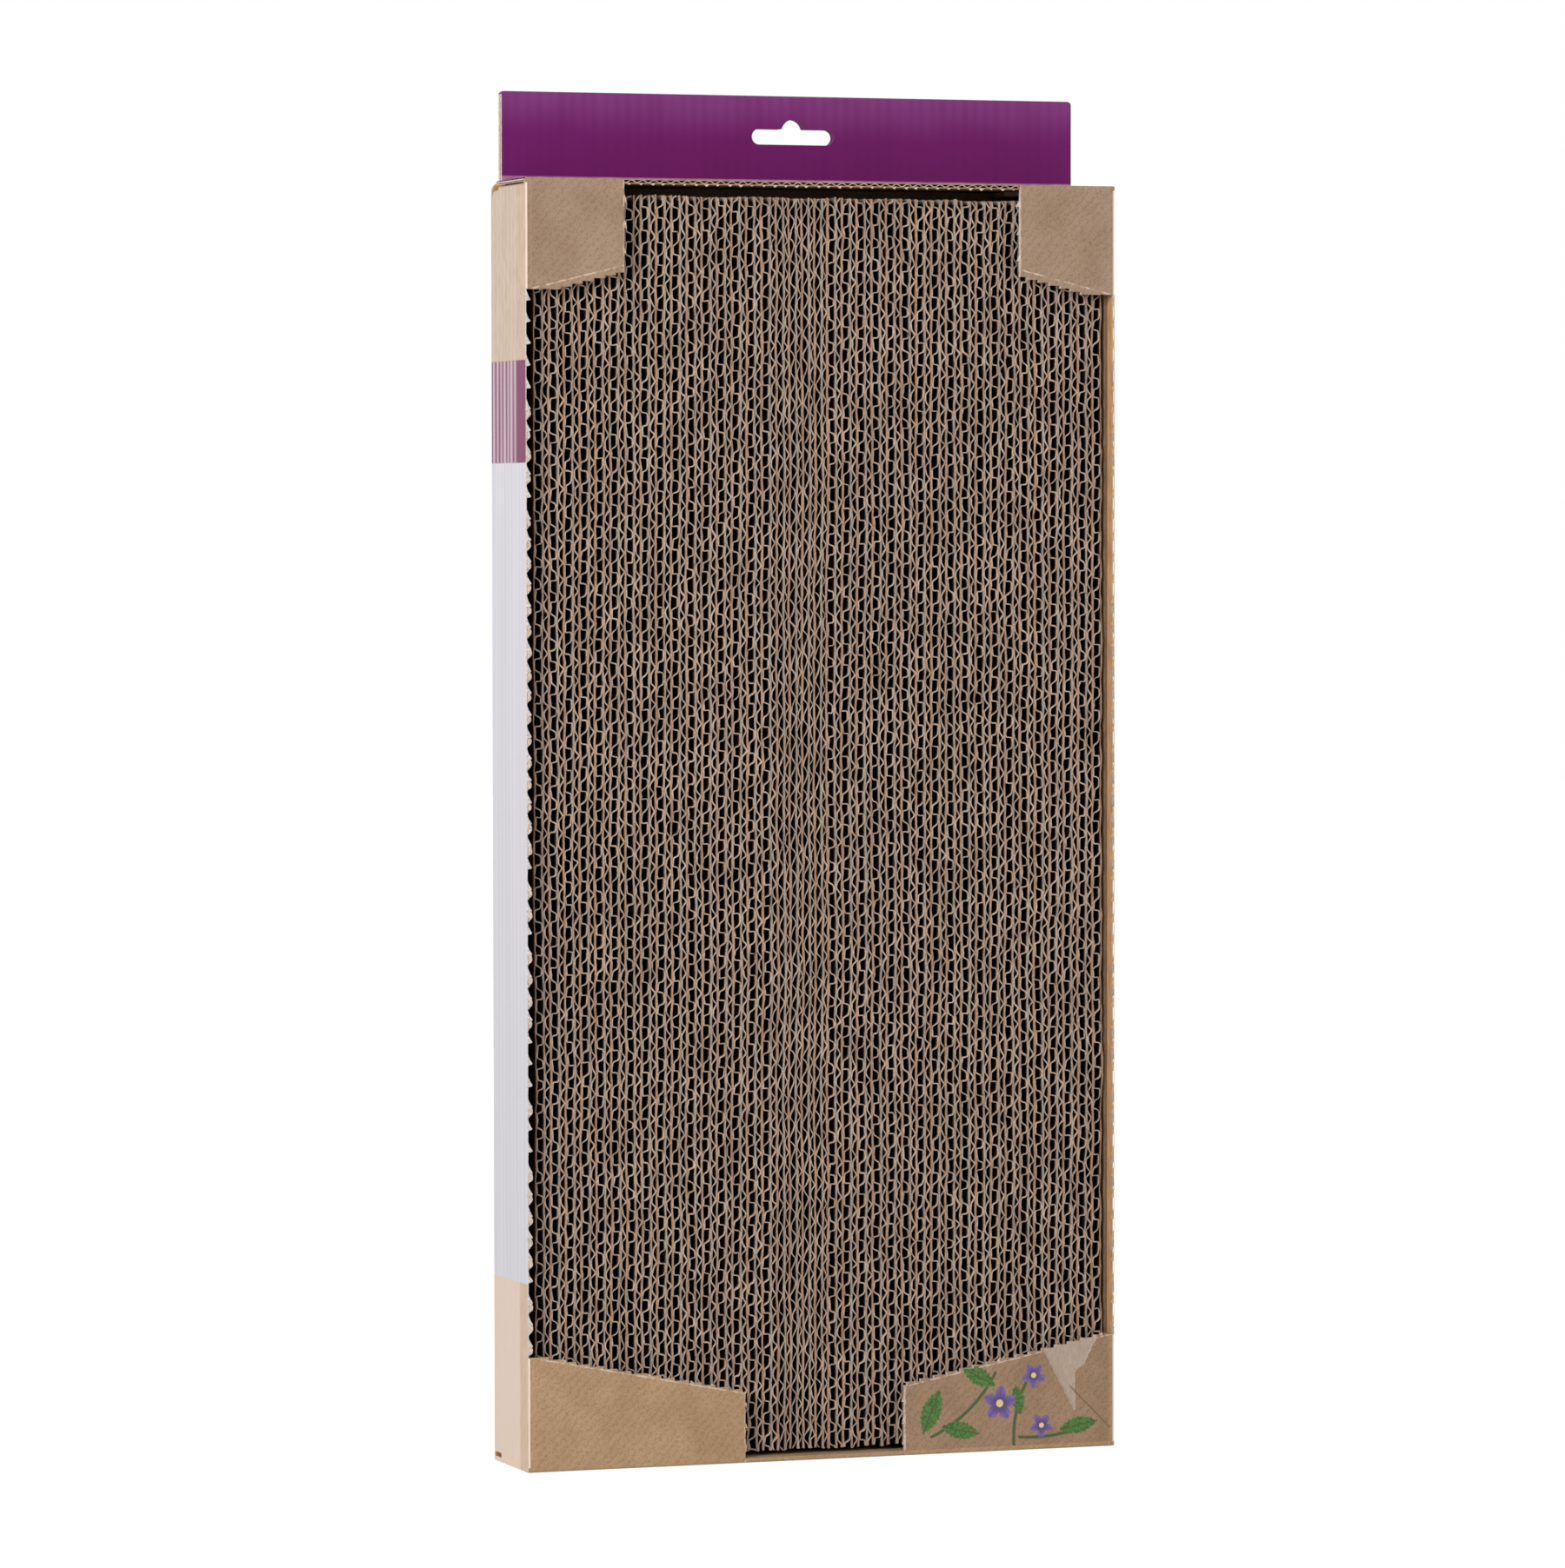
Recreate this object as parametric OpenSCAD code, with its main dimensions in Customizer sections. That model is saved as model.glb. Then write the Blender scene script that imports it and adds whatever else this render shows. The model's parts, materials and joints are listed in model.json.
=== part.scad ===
// Cardboard cat scratcher: a flat retail carton, torn open at the front, round an upright pad
// of corrugated strips whose flute ends face forwards. A double header with a hang slot stands
// on the back. X runs across the front, Y from the front to the back and Z up. The origin is
// the middle of the base.

/* [Carton] */
// Outer width of the carton
carton_w = 220; // [170:1:300]
// Outer depth of the carton
carton_d = 40; // [34:0.5:60]
// Outer height of the carton without its header
carton_h = 450; // [300:1:600]
// Thickness of the carton's single-wall board
board_t = 1.6; // [1.2:0.1:2]
// Width of the glued seam flap inside the back left corner
seam_w = 14; // [8:0.5:20]

/* [Window] */
// Width of each tab left at the top of the torn-out front
top_tab_w = 36; // [20:0.5:60]
// Height of a top tab at its inner edge
top_tab_inner_h = 28.4; // [15:0.1:50]
// Height of a top tab at the side fold
top_tab_fold_h = 36.9; // [25:0.1:70]
// Width of each tab left at the bottom of the torn-out front
bottom_tab_w = 80; // [40:0.5:83]
// Height of a bottom tab at its inner edge
bottom_tab_inner_h = 22.9; // [12:0.1:40]
// Height of a bottom tab at the side fold
bottom_tab_fold_h = 38.4; // [25:0.1:70]
// Pitch of the torn teeth down both side folds
tooth_pitch = 7.5; // [5:0.1:12]
// How far the torn teeth stand out of their strip
tooth_reach = 1.5; // [0.8:0.1:2]
// Width of the ragged strip that carries the teeth, from the carton's side
tooth_root = 0.4; // [0.3:0.1:0.8]

/* [Closures] */
// Length of a tuck flap below or above its lid
tuck_len = 9; // [5:0.5:12]
// Slanted cut at the corners of a tuck flap
tuck_corner = 5; // [1:0.5:5]
// Length of a dust flap inwards from its side fold
dust_len = 34; // [20:0.5:60]
// Free space round the flaps inside the carton
flap_gap = 0.4; // [0.2:0.1:1]
// Free space between the swinging tuck flap and the header
swing_gap = 0.3; // [0.2:0.1:1]

/* [Header] */
// Height of the header above the carton
header_h = 32; // [28:0.5:50]
// How far the header's left end stands in from the carton's side
header_inset_left = 2.9; // [0:0.1:6]
// How far the header's right end stands in from the carton's side
header_inset_right = 2.2; // [0:0.1:6]
// Space between the two layers of the header
header_gap = 0.6; // [0.2:0.1:1.2]
// Height of the hang slot's bar above the carton
slot_rise = 14.7; // [6:0.1:18]
// How far the hang slot's middle lies to the right of the carton's middle
slot_shift = 1.4; // [-3:0.1:3]
// Width of the hang slot
slot_w = 31; // [24:0.1:50]
// Height of the hang slot's bar
slot_bar_h = 5.5; // [4.4:0.1:6.5]
// Width of the round hump over the middle of the bar
slot_hump_w = 8.6; // [5:0.1:9]
// Height of the hump above the bar
slot_hump_h = 3.4; // [2:0.1:3.6]
// Radius of the flare at each foot of the hump
slot_flare_r = 0.8; // [0.4:0.1:1.5]

/* [Pad] */
// Number of double-wall strips across the pad
strip_count = 38; // [20:1:38]
// Free space between the pad and the left wall
pad_gap_left = 2.75; // [2.2:0.05:6]
// Free space between the pad and the right wall
pad_gap_right = 1.35; // [0.4:0.05:6]
// How far the pad's scratching face lies behind the carton's front
pad_recess = 5; // [3:0.1:10]
// Free space over the pad, which lets it ride up and down
pad_play = 1.6; // [0.6:0.1:4]
// Thickness of a strip's liner paper
liner_t = 0.3; // [0.2:0.05:0.5]
// Thickness of the fluted paper
medium_t = 0.25; // [0.15:0.05:0.4]
// Pitch of the larger flutes
flute_pitch = 7.9; // [6:0.1:12]
// Contact width where a flute's crest is glued to its liner
glue_line = 0.3; // [0.2:0.05:0.6]
// How far the closed smaller flutes lie behind the liners' front edges
core_recess = 2.5; // [1:0.1:6]

/* [Hidden] */
// Number of the first strip that was crushed in handling, and how many follow on from it
crushed_first = 16;
crushed_count = 4;
// Width of a crushed strip as a share of a sound one
crushed_share = 0.84;
// The larger flutes' share of the room between a strip's three liners
large_flute_share = 0.585;
// Share of the lid's turn that the tuck flap adds when it straightens out
tuck_turn_share = 0.5;
// Setback of a dust flap's front edge for each unit of its length
dust_taper_share = 0.55;
// Setback of a dust flap's back edge for each unit of its length
dust_back_share = 0.06;
// Outline of one torn tooth, as shares of its pitch and of its reach
tooth_shares = [[0, 0], [0.13, 0.22], [0.5, 1], [0.57, 0.95], [0.66, 0.6], [0.78, 0.28], [0.9, 0.08]];
// Slant of the seam flap's ends as a share of its width
seam_slant_share = 0.6;
// Overrun of every cut past the faces that it goes through
overrun = 1;

front_y = -carton_d / 2;
back_y = carton_d / 2;
half_w = carton_w / 2;
wall_x = half_w - board_t;
front_wall_y = front_y + board_t;
back_wall_y = back_y - board_t;
fold_z = carton_h - board_t;
shoulder_z = carton_h - 2 * board_t;
floor_z = 2 * board_t;
window_z0 = board_t + bottom_tab_fold_h;
window_z1 = fold_z - top_tab_fold_h;

header_t = 2 * board_t + header_gap;
header_z = carton_h + header_h;
header_x0 = header_inset_left - half_w;
header_x1 = half_w - header_inset_right;

// The lid stops short of the header, so that its tuck flap can swing out past it
swing_reach = carton_d - header_t - swing_gap;
lid_d = sqrt(pow(swing_reach, 2) - pow((1 + tuck_turn_share) * tuck_len, 2));
lid_back_y = front_y + lid_d;
tuck_front_y = lid_back_y - board_t;
tuck_half_w = wall_x - board_t - flap_gap;

pad_x0 = pad_gap_left - wall_x;
pad_x1 = wall_x - pad_gap_right;
pad_y0 = front_y + pad_recess;
pad_y1 = tuck_front_y - flap_gap;
pad_len = shoulder_z - floor_z - pad_play;
pad_w = pad_x1 - pad_x0;

// Sound strips, crushed strips and the single-wall end strip fill the pad's width together
sound_count = strip_count - crushed_count * (1 - crushed_share);
strip_w = (pad_w - (2 - 3 * large_flute_share) * liner_t) / (sound_count + large_flute_share);
function is_crushed(i) = i >= crushed_first && i < crushed_first + crushed_count;
function width_of(i) = is_crushed(i) ? crushed_share * strip_w : strip_w;
function crushed_before(i) = max(0, min(i - crushed_first, crushed_count));
function start_of(i) = pad_x0 + strip_w * (i - crushed_before(i) * (1 - crushed_share));
function large_room(w) = (w - 3 * liner_t) * large_flute_share;
function small_room(w) = (w - 3 * liner_t) * (1 - large_flute_share);

flute_count = floor(pad_len / flute_pitch);
flute_step = pad_len / flute_count;

function two_digits(n) = n < 10 ? str("0", n) : str(n);
function strip_name(i) = str("pad_strip_", two_digits(i + 1));

kraft = "#c3a17c";
kraft_side = "#d9bf9c";
print_purple = "#6b2464";
pad_brown = "#a5896c";

// A block between two corners on each axis
module block(x, y, z) {
    translate([x[0], y[0], z[0]])
        cube([x[1] - x[0], y[1] - y[0], z[1] - z[0]]);
}

// Stands an outline drawn in X and Z upright, from y0 backwards
module upright(y0, depth) {
    translate([0, y0 + depth, 0])
        rotate([90, 0, 0])
            linear_extrude(depth)
                children();
}

// Lays an outline drawn in X and Y flat, one board thick
module flat_board(z0) {
    translate([0, 0, z0])
        linear_extrude(board_t)
            children();
}

module back_panel() {
    color(kraft)
        block([-half_w, half_w], [back_wall_y, back_y], [0, carton_h]);
}

// One side wall between the two lids' dust flaps, stepped back where the front was torn off
module side_panel() {
    difference() {
        block([-half_w, -wall_x], [front_y, back_wall_y], [floor_z, shoulder_z]);
        block(
            [-half_w - overrun, -wall_x + overrun],
            [front_y - overrun, front_wall_y],
            [window_z0, window_z1]
        );
    }
}

module left_side_panel() {
    color(kraft_side)
        side_panel();
}

module right_side_panel() {
    color(kraft_side)
        mirror([1, 0, 0])
            side_panel();
}

// Glued inside the left wall, with slanted ends
module seam_flap() {
    slant = seam_slant_share * seam_w;
    color(kraft)
        translate([-wall_x, 0, 0])
            rotate([90, 0, 90])
                linear_extrude(board_t)
                    polygon([
                        [back_wall_y, floor_z],
                        [back_wall_y - seam_w, floor_z + slant],
                        [back_wall_y - seam_w, shoulder_z - slant],
                        [back_wall_y, shoulder_z]
                    ]);
}

// What is left of the front panel in a corner: a tab with a slanted free edge
module corner_tab(w, inner_h, fold_h, edge_z, way) {
    upright(front_y, board_t)
        polygon([
            [-wall_x, edge_z],
            [-half_w + w, edge_z],
            [-half_w + w, edge_z + way * inner_h],
            [-wall_x, edge_z + way * fold_h]
        ]);
}

module top_tab() {
    color(kraft)
        corner_tab(top_tab_w, top_tab_inner_h, top_tab_fold_h, fold_z, -1);
}

module bottom_tab() {
    color(kraft)
        corner_tab(bottom_tab_w, bottom_tab_inner_h, bottom_tab_fold_h, board_t, 1);
}

module top_left_tab() {
    top_tab();
}

module top_right_tab() {
    mirror([1, 0, 0])
        top_tab();
}

module bottom_left_tab() {
    bottom_tab();
}

module bottom_right_tab() {
    mirror([1, 0, 0])
        bottom_tab();
}

// The ragged strip of front panel that stayed on a side fold, one tooth for each perforation
module torn_edge() {
    count = floor((window_z1 - window_z0) / tooth_pitch);
    step = (window_z1 - window_z0) / count;
    root_x = -half_w + tooth_root;
    ragged = [
        for (i = [0:count - 1])
            each [for (p = tooth_shares) [root_x + p[1] * tooth_reach, window_z0 + (i + p[0]) * step]]
    ];
    color(kraft_side)
        upright(front_y, board_t)
            polygon(concat(ragged, [[root_x, window_z1], [-half_w, window_z1], [-half_w, window_z0]]));
}

module left_torn_edge() {
    torn_edge();
}

module right_torn_edge() {
    mirror([1, 0, 0])
        torn_edge();
}

// Folds up round the carton's top front edge
module top_lid() {
    color(kraft)
        block([-half_w, half_w], [front_y, lid_back_y], [fold_z, carton_h]);
}

// A tuck flap with slanted corners, standing on edge from z0
module tuck_flap(y0, z0, way) {
    color(kraft)
        upright(y0, board_t)
            polygon([
                [-tuck_half_w, z0],
                [tuck_half_w, z0],
                [tuck_half_w, z0 + way * (tuck_len - tuck_corner)],
                [tuck_half_w - tuck_corner, z0 + way * tuck_len],
                [-tuck_half_w + tuck_corner, z0 + way * tuck_len],
                [-tuck_half_w, z0 + way * (tuck_len - tuck_corner)]
            ]);
}

module top_tuck_flap() {
    tuck_flap(tuck_front_y, fold_z, -1);
}

// A dust flap turned in over the end of a side wall
module dust_flap(z0) {
    y0 = front_wall_y + flap_gap;
    color(kraft)
        flat_board(z0)
            polygon([
                [-half_w, y0],
                [-half_w + dust_len, y0 + dust_taper_share * dust_len],
                [-half_w + dust_len, pad_y1 - dust_back_share * dust_len],
                [-half_w, pad_y1]
            ]);
}

module top_left_dust_flap() {
    dust_flap(shoulder_z);
}

module top_right_dust_flap() {
    mirror([1, 0, 0])
        dust_flap(shoulder_z);
}

// The closed base, glued to the dust flaps
module bottom_lid() {
    color(kraft)
        block([-half_w, half_w], [front_y, back_wall_y], [0, board_t]);
}

module bottom_tuck_flap() {
    tuck_flap(back_wall_y - board_t, board_t, 1);
}

module bottom_left_dust_flap() {
    dust_flap(board_t);
}

module bottom_right_dust_flap() {
    mirror([1, 0, 0])
        dust_flap(board_t);
}

// Outline of the hang slot: a bar with round ends and a round hump over its middle
module slot_outline() {
    bar_r = slot_bar_h / 2;
    hump_r = slot_hump_w / 2;
    hump_rise = bar_r + slot_hump_h - hump_r;
    // Each flare is an arc that touches the bar's upper edge and the hump
    flare_rise = bar_r + slot_flare_r;
    reach = hump_r + slot_flare_r;
    flare_x = sqrt(pow(reach, 2) - pow(flare_rise - hump_rise, 2));
    touch_rise = hump_rise + (flare_rise - hump_rise) * hump_r / reach;
    translate([slot_shift, carton_h + slot_rise + bar_r]) {
        square([slot_w - slot_bar_h, slot_bar_h], center = true);
        for (side = [-1, 1])
            translate([side * (slot_w / 2 - bar_r), 0])
                circle(bar_r, $fn = 32);
        intersection() {
            translate([0, hump_rise])
                circle(hump_r, $fn = 48);
            translate([-hump_r, 0])
                square([slot_hump_w, bar_r + slot_hump_h]);
        }
        difference() {
            translate([-flare_x, 0])
                square([2 * flare_x, touch_rise]);
            for (side = [-1, 1])
                translate([side * flare_x, flare_rise])
                    circle(slot_flare_r, $fn = 32);
        }
    }
}

module slot_cut() {
    upright(back_y - header_t - overrun, header_t + 2 * overrun)
        slot_outline();
}

// Upward extension of the back panel
module header_rear_layer() {
    color(kraft)
        difference() {
            block([header_x0, header_x1], [back_wall_y, back_y], [carton_h, header_z - board_t]);
            slot_cut();
        }
}

// Side view of the front layer, which rolls over the top of the rear layer
module folded_profile() {
    y0 = back_y - header_t;
    r = board_t;
    arc = 8;
    front_arc = [for (i = [0:arc]) [y0 + r - r * cos(90 * i / arc), header_z - r + r * sin(90 * i / arc)]];
    back_arc = [for (i = [0:arc]) [back_y - r + r * sin(90 * i / arc), header_z - r + r * cos(90 * i / arc)]];
    polygon(concat(
        [[y0 + board_t, carton_h], [y0, carton_h]],
        front_arc,
        back_arc,
        [[y0 + board_t, header_z - board_t]]
    ));
}

module header_front_layer() {
    color(print_purple)
        difference() {
            translate([header_x0, 0, 0])
                rotate([90, 0, 90])
                    linear_extrude(header_x1 - header_x0)
                        folded_profile();
            slot_cut();
        }
}

// Three-sided openings on both sides of the larger fluting, between liners at x0 and x0 + room
module flute_openings(x0, room) {
    crest = glue_line / 2;
    for (i = [0:flute_count - 1]) {
        z = floor_z + i * flute_step;
        mid = z + flute_step / 2;
        polygon([[x0, z + crest], [x0 + room - medium_t, mid], [x0, z + flute_step - crest]]);
        if (i > 0)
            polygon([[x0 + room, z - flute_step / 2 + crest], [x0 + room, mid - crest], [x0 + medium_t, z]]);
    }
}

// One strip of double-wall board on edge: liner, large flutes, liner, small flutes, liner
module double_wall_strip(i) {
    w = width_of(i);
    x0 = start_of(i);
    small_x = x0 + 2 * liner_t + large_room(w);
    color(pad_brown)
        difference() {
            upright(pad_y0, pad_y1 - pad_y0)
                difference() {
                    translate([x0, floor_z])
                        square([w, pad_len]);
                    flute_openings(x0 + liner_t, large_room(w));
                }
            block(
                [small_x, small_x + small_room(w)],
                [pad_y0 - overrun, pad_y0 + core_recess],
                [floor_z - overrun, floor_z + pad_len + overrun]
            );
        }
}

// The last strip is single-wall board: liner, large flutes, liner
module end_strip() {
    x0 = start_of(strip_count);
    room = large_room(strip_w);
    color(pad_brown)
        upright(pad_y0, pad_y1 - pad_y0)
            difference() {
                translate([x0, floor_z])
                    square([room + 2 * liner_t, pad_len]);
                flute_openings(x0 + liner_t, room);
            }
}

back_panel();
left_side_panel();
right_side_panel();
seam_flap();
top_left_tab();
top_right_tab();
bottom_left_tab();
bottom_right_tab();
left_torn_edge();
right_torn_edge();
top_lid();
top_tuck_flap();
top_left_dust_flap();
top_right_dust_flap();
bottom_lid();
bottom_tuck_flap();
bottom_left_dust_flap();
bottom_right_dust_flap();
header_rear_layer();
header_front_layer();
for (i = [0:strip_count - 1])
    double_wall_strip(i);
end_strip();
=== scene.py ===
"""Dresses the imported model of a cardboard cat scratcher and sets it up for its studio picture.

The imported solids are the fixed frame. Every sub-assembly is a class that builds its paper and
board from Blender's own modelling operators at the places that the frame gives, and dresses them
with procedural finishes. X runs across the front, Y from the front to the back and Z up.
"""
from __future__ import annotations

import json
import logging
import math
import random
from dataclasses import dataclass, field
from enum import Enum
from typing import Callable, ClassVar, Sequence

import bmesh
import bpy
from mathutils import Matrix, Vector

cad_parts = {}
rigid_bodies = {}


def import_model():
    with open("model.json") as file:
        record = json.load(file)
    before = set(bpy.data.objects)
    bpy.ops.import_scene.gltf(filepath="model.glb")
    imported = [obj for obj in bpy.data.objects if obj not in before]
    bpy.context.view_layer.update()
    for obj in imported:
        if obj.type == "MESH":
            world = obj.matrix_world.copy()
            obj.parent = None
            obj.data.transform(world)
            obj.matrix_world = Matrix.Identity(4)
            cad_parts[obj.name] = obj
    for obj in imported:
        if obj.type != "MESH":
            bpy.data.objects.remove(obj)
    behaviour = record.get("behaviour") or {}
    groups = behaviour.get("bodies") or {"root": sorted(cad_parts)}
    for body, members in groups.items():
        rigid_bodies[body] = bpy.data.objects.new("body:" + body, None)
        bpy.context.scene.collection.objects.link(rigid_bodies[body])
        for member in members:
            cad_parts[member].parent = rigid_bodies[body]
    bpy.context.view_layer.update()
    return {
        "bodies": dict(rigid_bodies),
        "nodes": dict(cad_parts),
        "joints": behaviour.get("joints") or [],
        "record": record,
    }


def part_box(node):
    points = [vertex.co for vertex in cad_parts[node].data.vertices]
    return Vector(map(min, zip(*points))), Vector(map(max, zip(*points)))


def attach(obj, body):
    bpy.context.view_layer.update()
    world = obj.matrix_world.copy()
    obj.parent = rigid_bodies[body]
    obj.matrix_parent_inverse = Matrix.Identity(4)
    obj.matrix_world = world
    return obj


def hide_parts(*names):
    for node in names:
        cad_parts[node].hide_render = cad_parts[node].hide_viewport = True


LOG = logging.getLogger("scratcher")
MM = 0.001


class Part(Enum):
    """What a selection in edit mode is made of."""

    VERT = "verts"
    EDGE = "edges"
    FACE = "faces"


class Side(Enum):
    """A side of the carton, as the sign of its X."""

    LEFT = -1
    RIGHT = 1


# Modelling helpers


def mm(x: float, y: float, z: float) -> Vector:
    """A point or a size given in millimetres, in metres."""
    return Vector((x * MM, y * MM, z * MM))


def only(piece: bpy.types.Object) -> None:
    """Selects one object alone and makes it the active one."""
    bpy.ops.object.select_all(action="DESELECT")
    piece.select_set(True)
    bpy.context.view_layer.objects.active = piece


def named(name: str) -> bpy.types.Object:
    """Names the object that an operator has just added, and returns it."""
    piece = bpy.context.active_object
    piece.name = name
    piece.data.name = name
    return piece


def edit(piece: bpy.types.Object) -> None:
    """Opens one object alone in edit mode."""
    only(piece)
    bpy.ops.object.mode_set(mode="EDIT")


def leave() -> None:
    """Goes back to object mode."""
    bpy.ops.object.mode_set(mode="OBJECT")


def pick(part: Part, test: Callable[[Vector], bool]) -> int:
    """Selects, in the mesh being edited, what lies where a test says.

    Args:
        part: vertices, edges or faces.
        test: says of the middle of each one whether it is wanted.

    Returns:
        How many were selected.
    """
    bpy.ops.mesh.select_mode(type=part.name)
    bpy.ops.mesh.select_all(action="DESELECT")
    data = bpy.context.edit_object.data
    mesh = bmesh.from_edit_mesh(data)
    found = 0
    for item in getattr(mesh, part.value):
        points = [item.co] if part is Part.VERT else [v.co for v in item.verts]
        if test(sum(points, Vector()) / len(points)):
            item.select_set(True)
            found += 1
    mesh.select_flush_mode()
    bmesh.update_edit_mesh(data)
    return found


def finished(piece: bpy.types.Object, kind: str, **settings: object) -> bpy.types.Object:
    """Adds a modifier to an object and applies it.

    Args:
        piece: the object.
        kind: Blender's name of the modifier's type.
        settings: the modifier's settings.

    Returns:
        The object.
    """
    only(piece)
    modifier = piece.modifiers.new(kind.lower(), kind)
    for key, value in settings.items():
        setattr(modifier, key, value)
    bpy.ops.object.modifier_apply(modifier=modifier.name)
    return piece


def copied(piece: bpy.types.Object, name: str, matrix: Matrix | None = None) -> bpy.types.Object:
    """Copies an object with its own mesh.

    Args:
        piece: what is copied.
        name: the copy's name.
        matrix: where the copy goes, in place of the original's place.

    Returns:
        The copy.
    """
    twin = piece.copy()
    twin.data = piece.data.copy()
    twin.name = name
    twin.data.name = name
    bpy.context.scene.collection.objects.link(twin)
    if matrix is not None:
        twin.matrix_world = matrix
    return twin


def settled(piece: bpy.types.Object) -> bpy.types.Object:
    """Puts an object's place, turn and size into its mesh, and returns it."""
    only(piece)
    bpy.ops.object.transform_apply(location=True, rotation=True, scale=True)
    return piece


def joined(name: str, pieces: Sequence[bpy.types.Object]) -> bpy.types.Object:
    """Joins several objects into the first one.

    Args:
        name: the name of what comes out.
        pieces: the objects, which all go into it.

    Returns:
        The joined object, with its place in its mesh.
    """
    only(pieces[0])
    for piece in pieces[1:]:
        piece.select_set(True)
    bpy.ops.object.join()
    return settled(named(name))


def removed(*pieces: bpy.types.Object) -> None:
    """Deletes objects that have served as tools or as patterns for copies."""
    for piece in pieces:
        bpy.data.objects.remove(piece)


def dressed(piece: bpy.types.Object, *materials: bpy.types.Material) -> bpy.types.Object:
    """Gives an object its materials in place of any others, and returns it."""
    piece.data.materials.clear()
    for material in materials:
        piece.data.materials.append(material)
    return piece


def faced(test: Callable[[Vector], bool]) -> None:
    """Gives the second material to the faces, in the mesh being edited, where a test says."""
    pick(Part.FACE, test)
    bpy.context.edit_object.active_material_index = 1
    bpy.ops.object.material_slot_assign()


def smoothed(piece: bpy.types.Object, degrees: float = 35) -> bpy.types.Object:
    """Shades an object smooth except over edges sharper than an angle, and returns it."""
    only(piece)
    bpy.ops.object.shade_smooth_by_angle(angle=math.radians(degrees))
    return piece


def mounted(piece: bpy.types.Object, body: str, slot: str, *nodes: str) -> bpy.types.Object:
    """Lets a finished piece ride on a body and stand for solids of the frame.

    Args:
        piece: the finished piece.
        body: the body that it moves with.
        slot: the record's material slot, which is not used.
        nodes: the solids that it stands for.

    Returns:
        The piece.
    """
    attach(piece, body)
    if nodes:
        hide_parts(*nodes)
    LOG.info("%s: %d faces, on %s", piece.name, len(piece.data.polygons), body)
    return piece


def block(name: str, low: Vector, high: Vector) -> bpy.types.Object:
    """Adds a cube primitive that reaches from one corner to another.

    Args:
        name: the object's name.
        low: its lowest corner.
        high: its highest corner.

    Returns:
        The object.
    """
    bpy.ops.object.select_all(action="DESELECT")
    bpy.ops.mesh.primitive_cube_add(size=1, location=(low + high) / 2, scale=high - low)
    return settled(named(name))


def sheet(name: str, rows: Sequence[Sequence[Vector]]) -> bpy.types.Object:
    """Lays paper through rows of points, from a grid that is extruded row by row.

    Args:
        name: the object's name.
        rows: at least two rows with the same number of points.

    Returns:
        The object.
    """
    across = len(rows[0])
    bpy.ops.object.select_all(action="DESELECT")
    bpy.ops.mesh.primitive_grid_add(x_subdivisions=across - 1, y_subdivisions=1, size=MM,
                                    location=rows[0][0])
    piece = settled(named(name))
    edit(piece)
    bpy.ops.mesh.select_mode(type="VERT")
    for row, points in enumerate(rows):
        if row > 1:
            pick(Part.VERT, lambda p: any((p - q).length < 1e-7 for q in rows[row - 1]))
            bpy.ops.mesh.extrude_region_move(TRANSFORM_OT_translate={"value": (0, 0, 0)})
        mesh = bmesh.from_edit_mesh(piece.data)
        mesh.verts.ensure_lookup_table()
        if row > 1:
            fresh = [v for v in mesh.verts if v.select]
            order = [min(range(len(fresh)), key=lambda i: (fresh[i].co - q).length)
                     for q in rows[row - 1]]
            places = [(fresh[i].index, fresh[i].co.copy()) for i in order]
        else:
            places = [(v.index, v.co.copy()) for v in mesh.verts[row * across:(row + 1) * across]]
        for (index, start), end in zip(places, points):
            bpy.ops.mesh.select_all(action="DESELECT")
            mesh = bmesh.from_edit_mesh(piece.data)
            mesh.verts.ensure_lookup_table()
            mesh.verts[index].select_set(True)
            bmesh.update_edit_mesh(piece.data)
            bpy.ops.transform.translate(value=end - start)
    leave()
    return piece


def cut(piece: bpy.types.Object, place: Vector, normal: Vector, **settings: bool) -> None:
    """Bisects a whole mesh.

    Args:
        piece: the object.
        place: a point of the cutting plane.
        normal: the plane's normal.
        settings: what the bisect operator clears or fills.
    """
    edit(piece)
    bpy.ops.mesh.select_all(action="SELECT")
    bpy.ops.mesh.bisect(plane_co=place, plane_no=normal, **settings)
    leave()


def noise_field(name: str, size: float, depth: int = 1) -> bpy.types.Texture:
    """A cloud texture for displacement, which is the same in every run.

    Args:
        name: the texture's name.
        size: the size of its clouds, in metres.
        depth: how many finer layers it has.

    Returns:
        The texture.
    """
    clouds = bpy.data.textures.new(name, "CLOUDS")
    clouds.noise_scale = size
    clouds.noise_depth = depth
    return clouds


# Finishes


def linear(code: str) -> tuple[float, float, float, float]:
    """Turns an sRGB colour such as #c3a17c into linear red, green, blue and alpha."""
    parts = [int(code[i:i + 2], 16) / 255 for i in (1, 3, 5)]
    return (*[p / 12.92 if p <= 0.04045 else ((p + 0.055) / 1.055) ** 2.4 for p in parts], 1.0)


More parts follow.
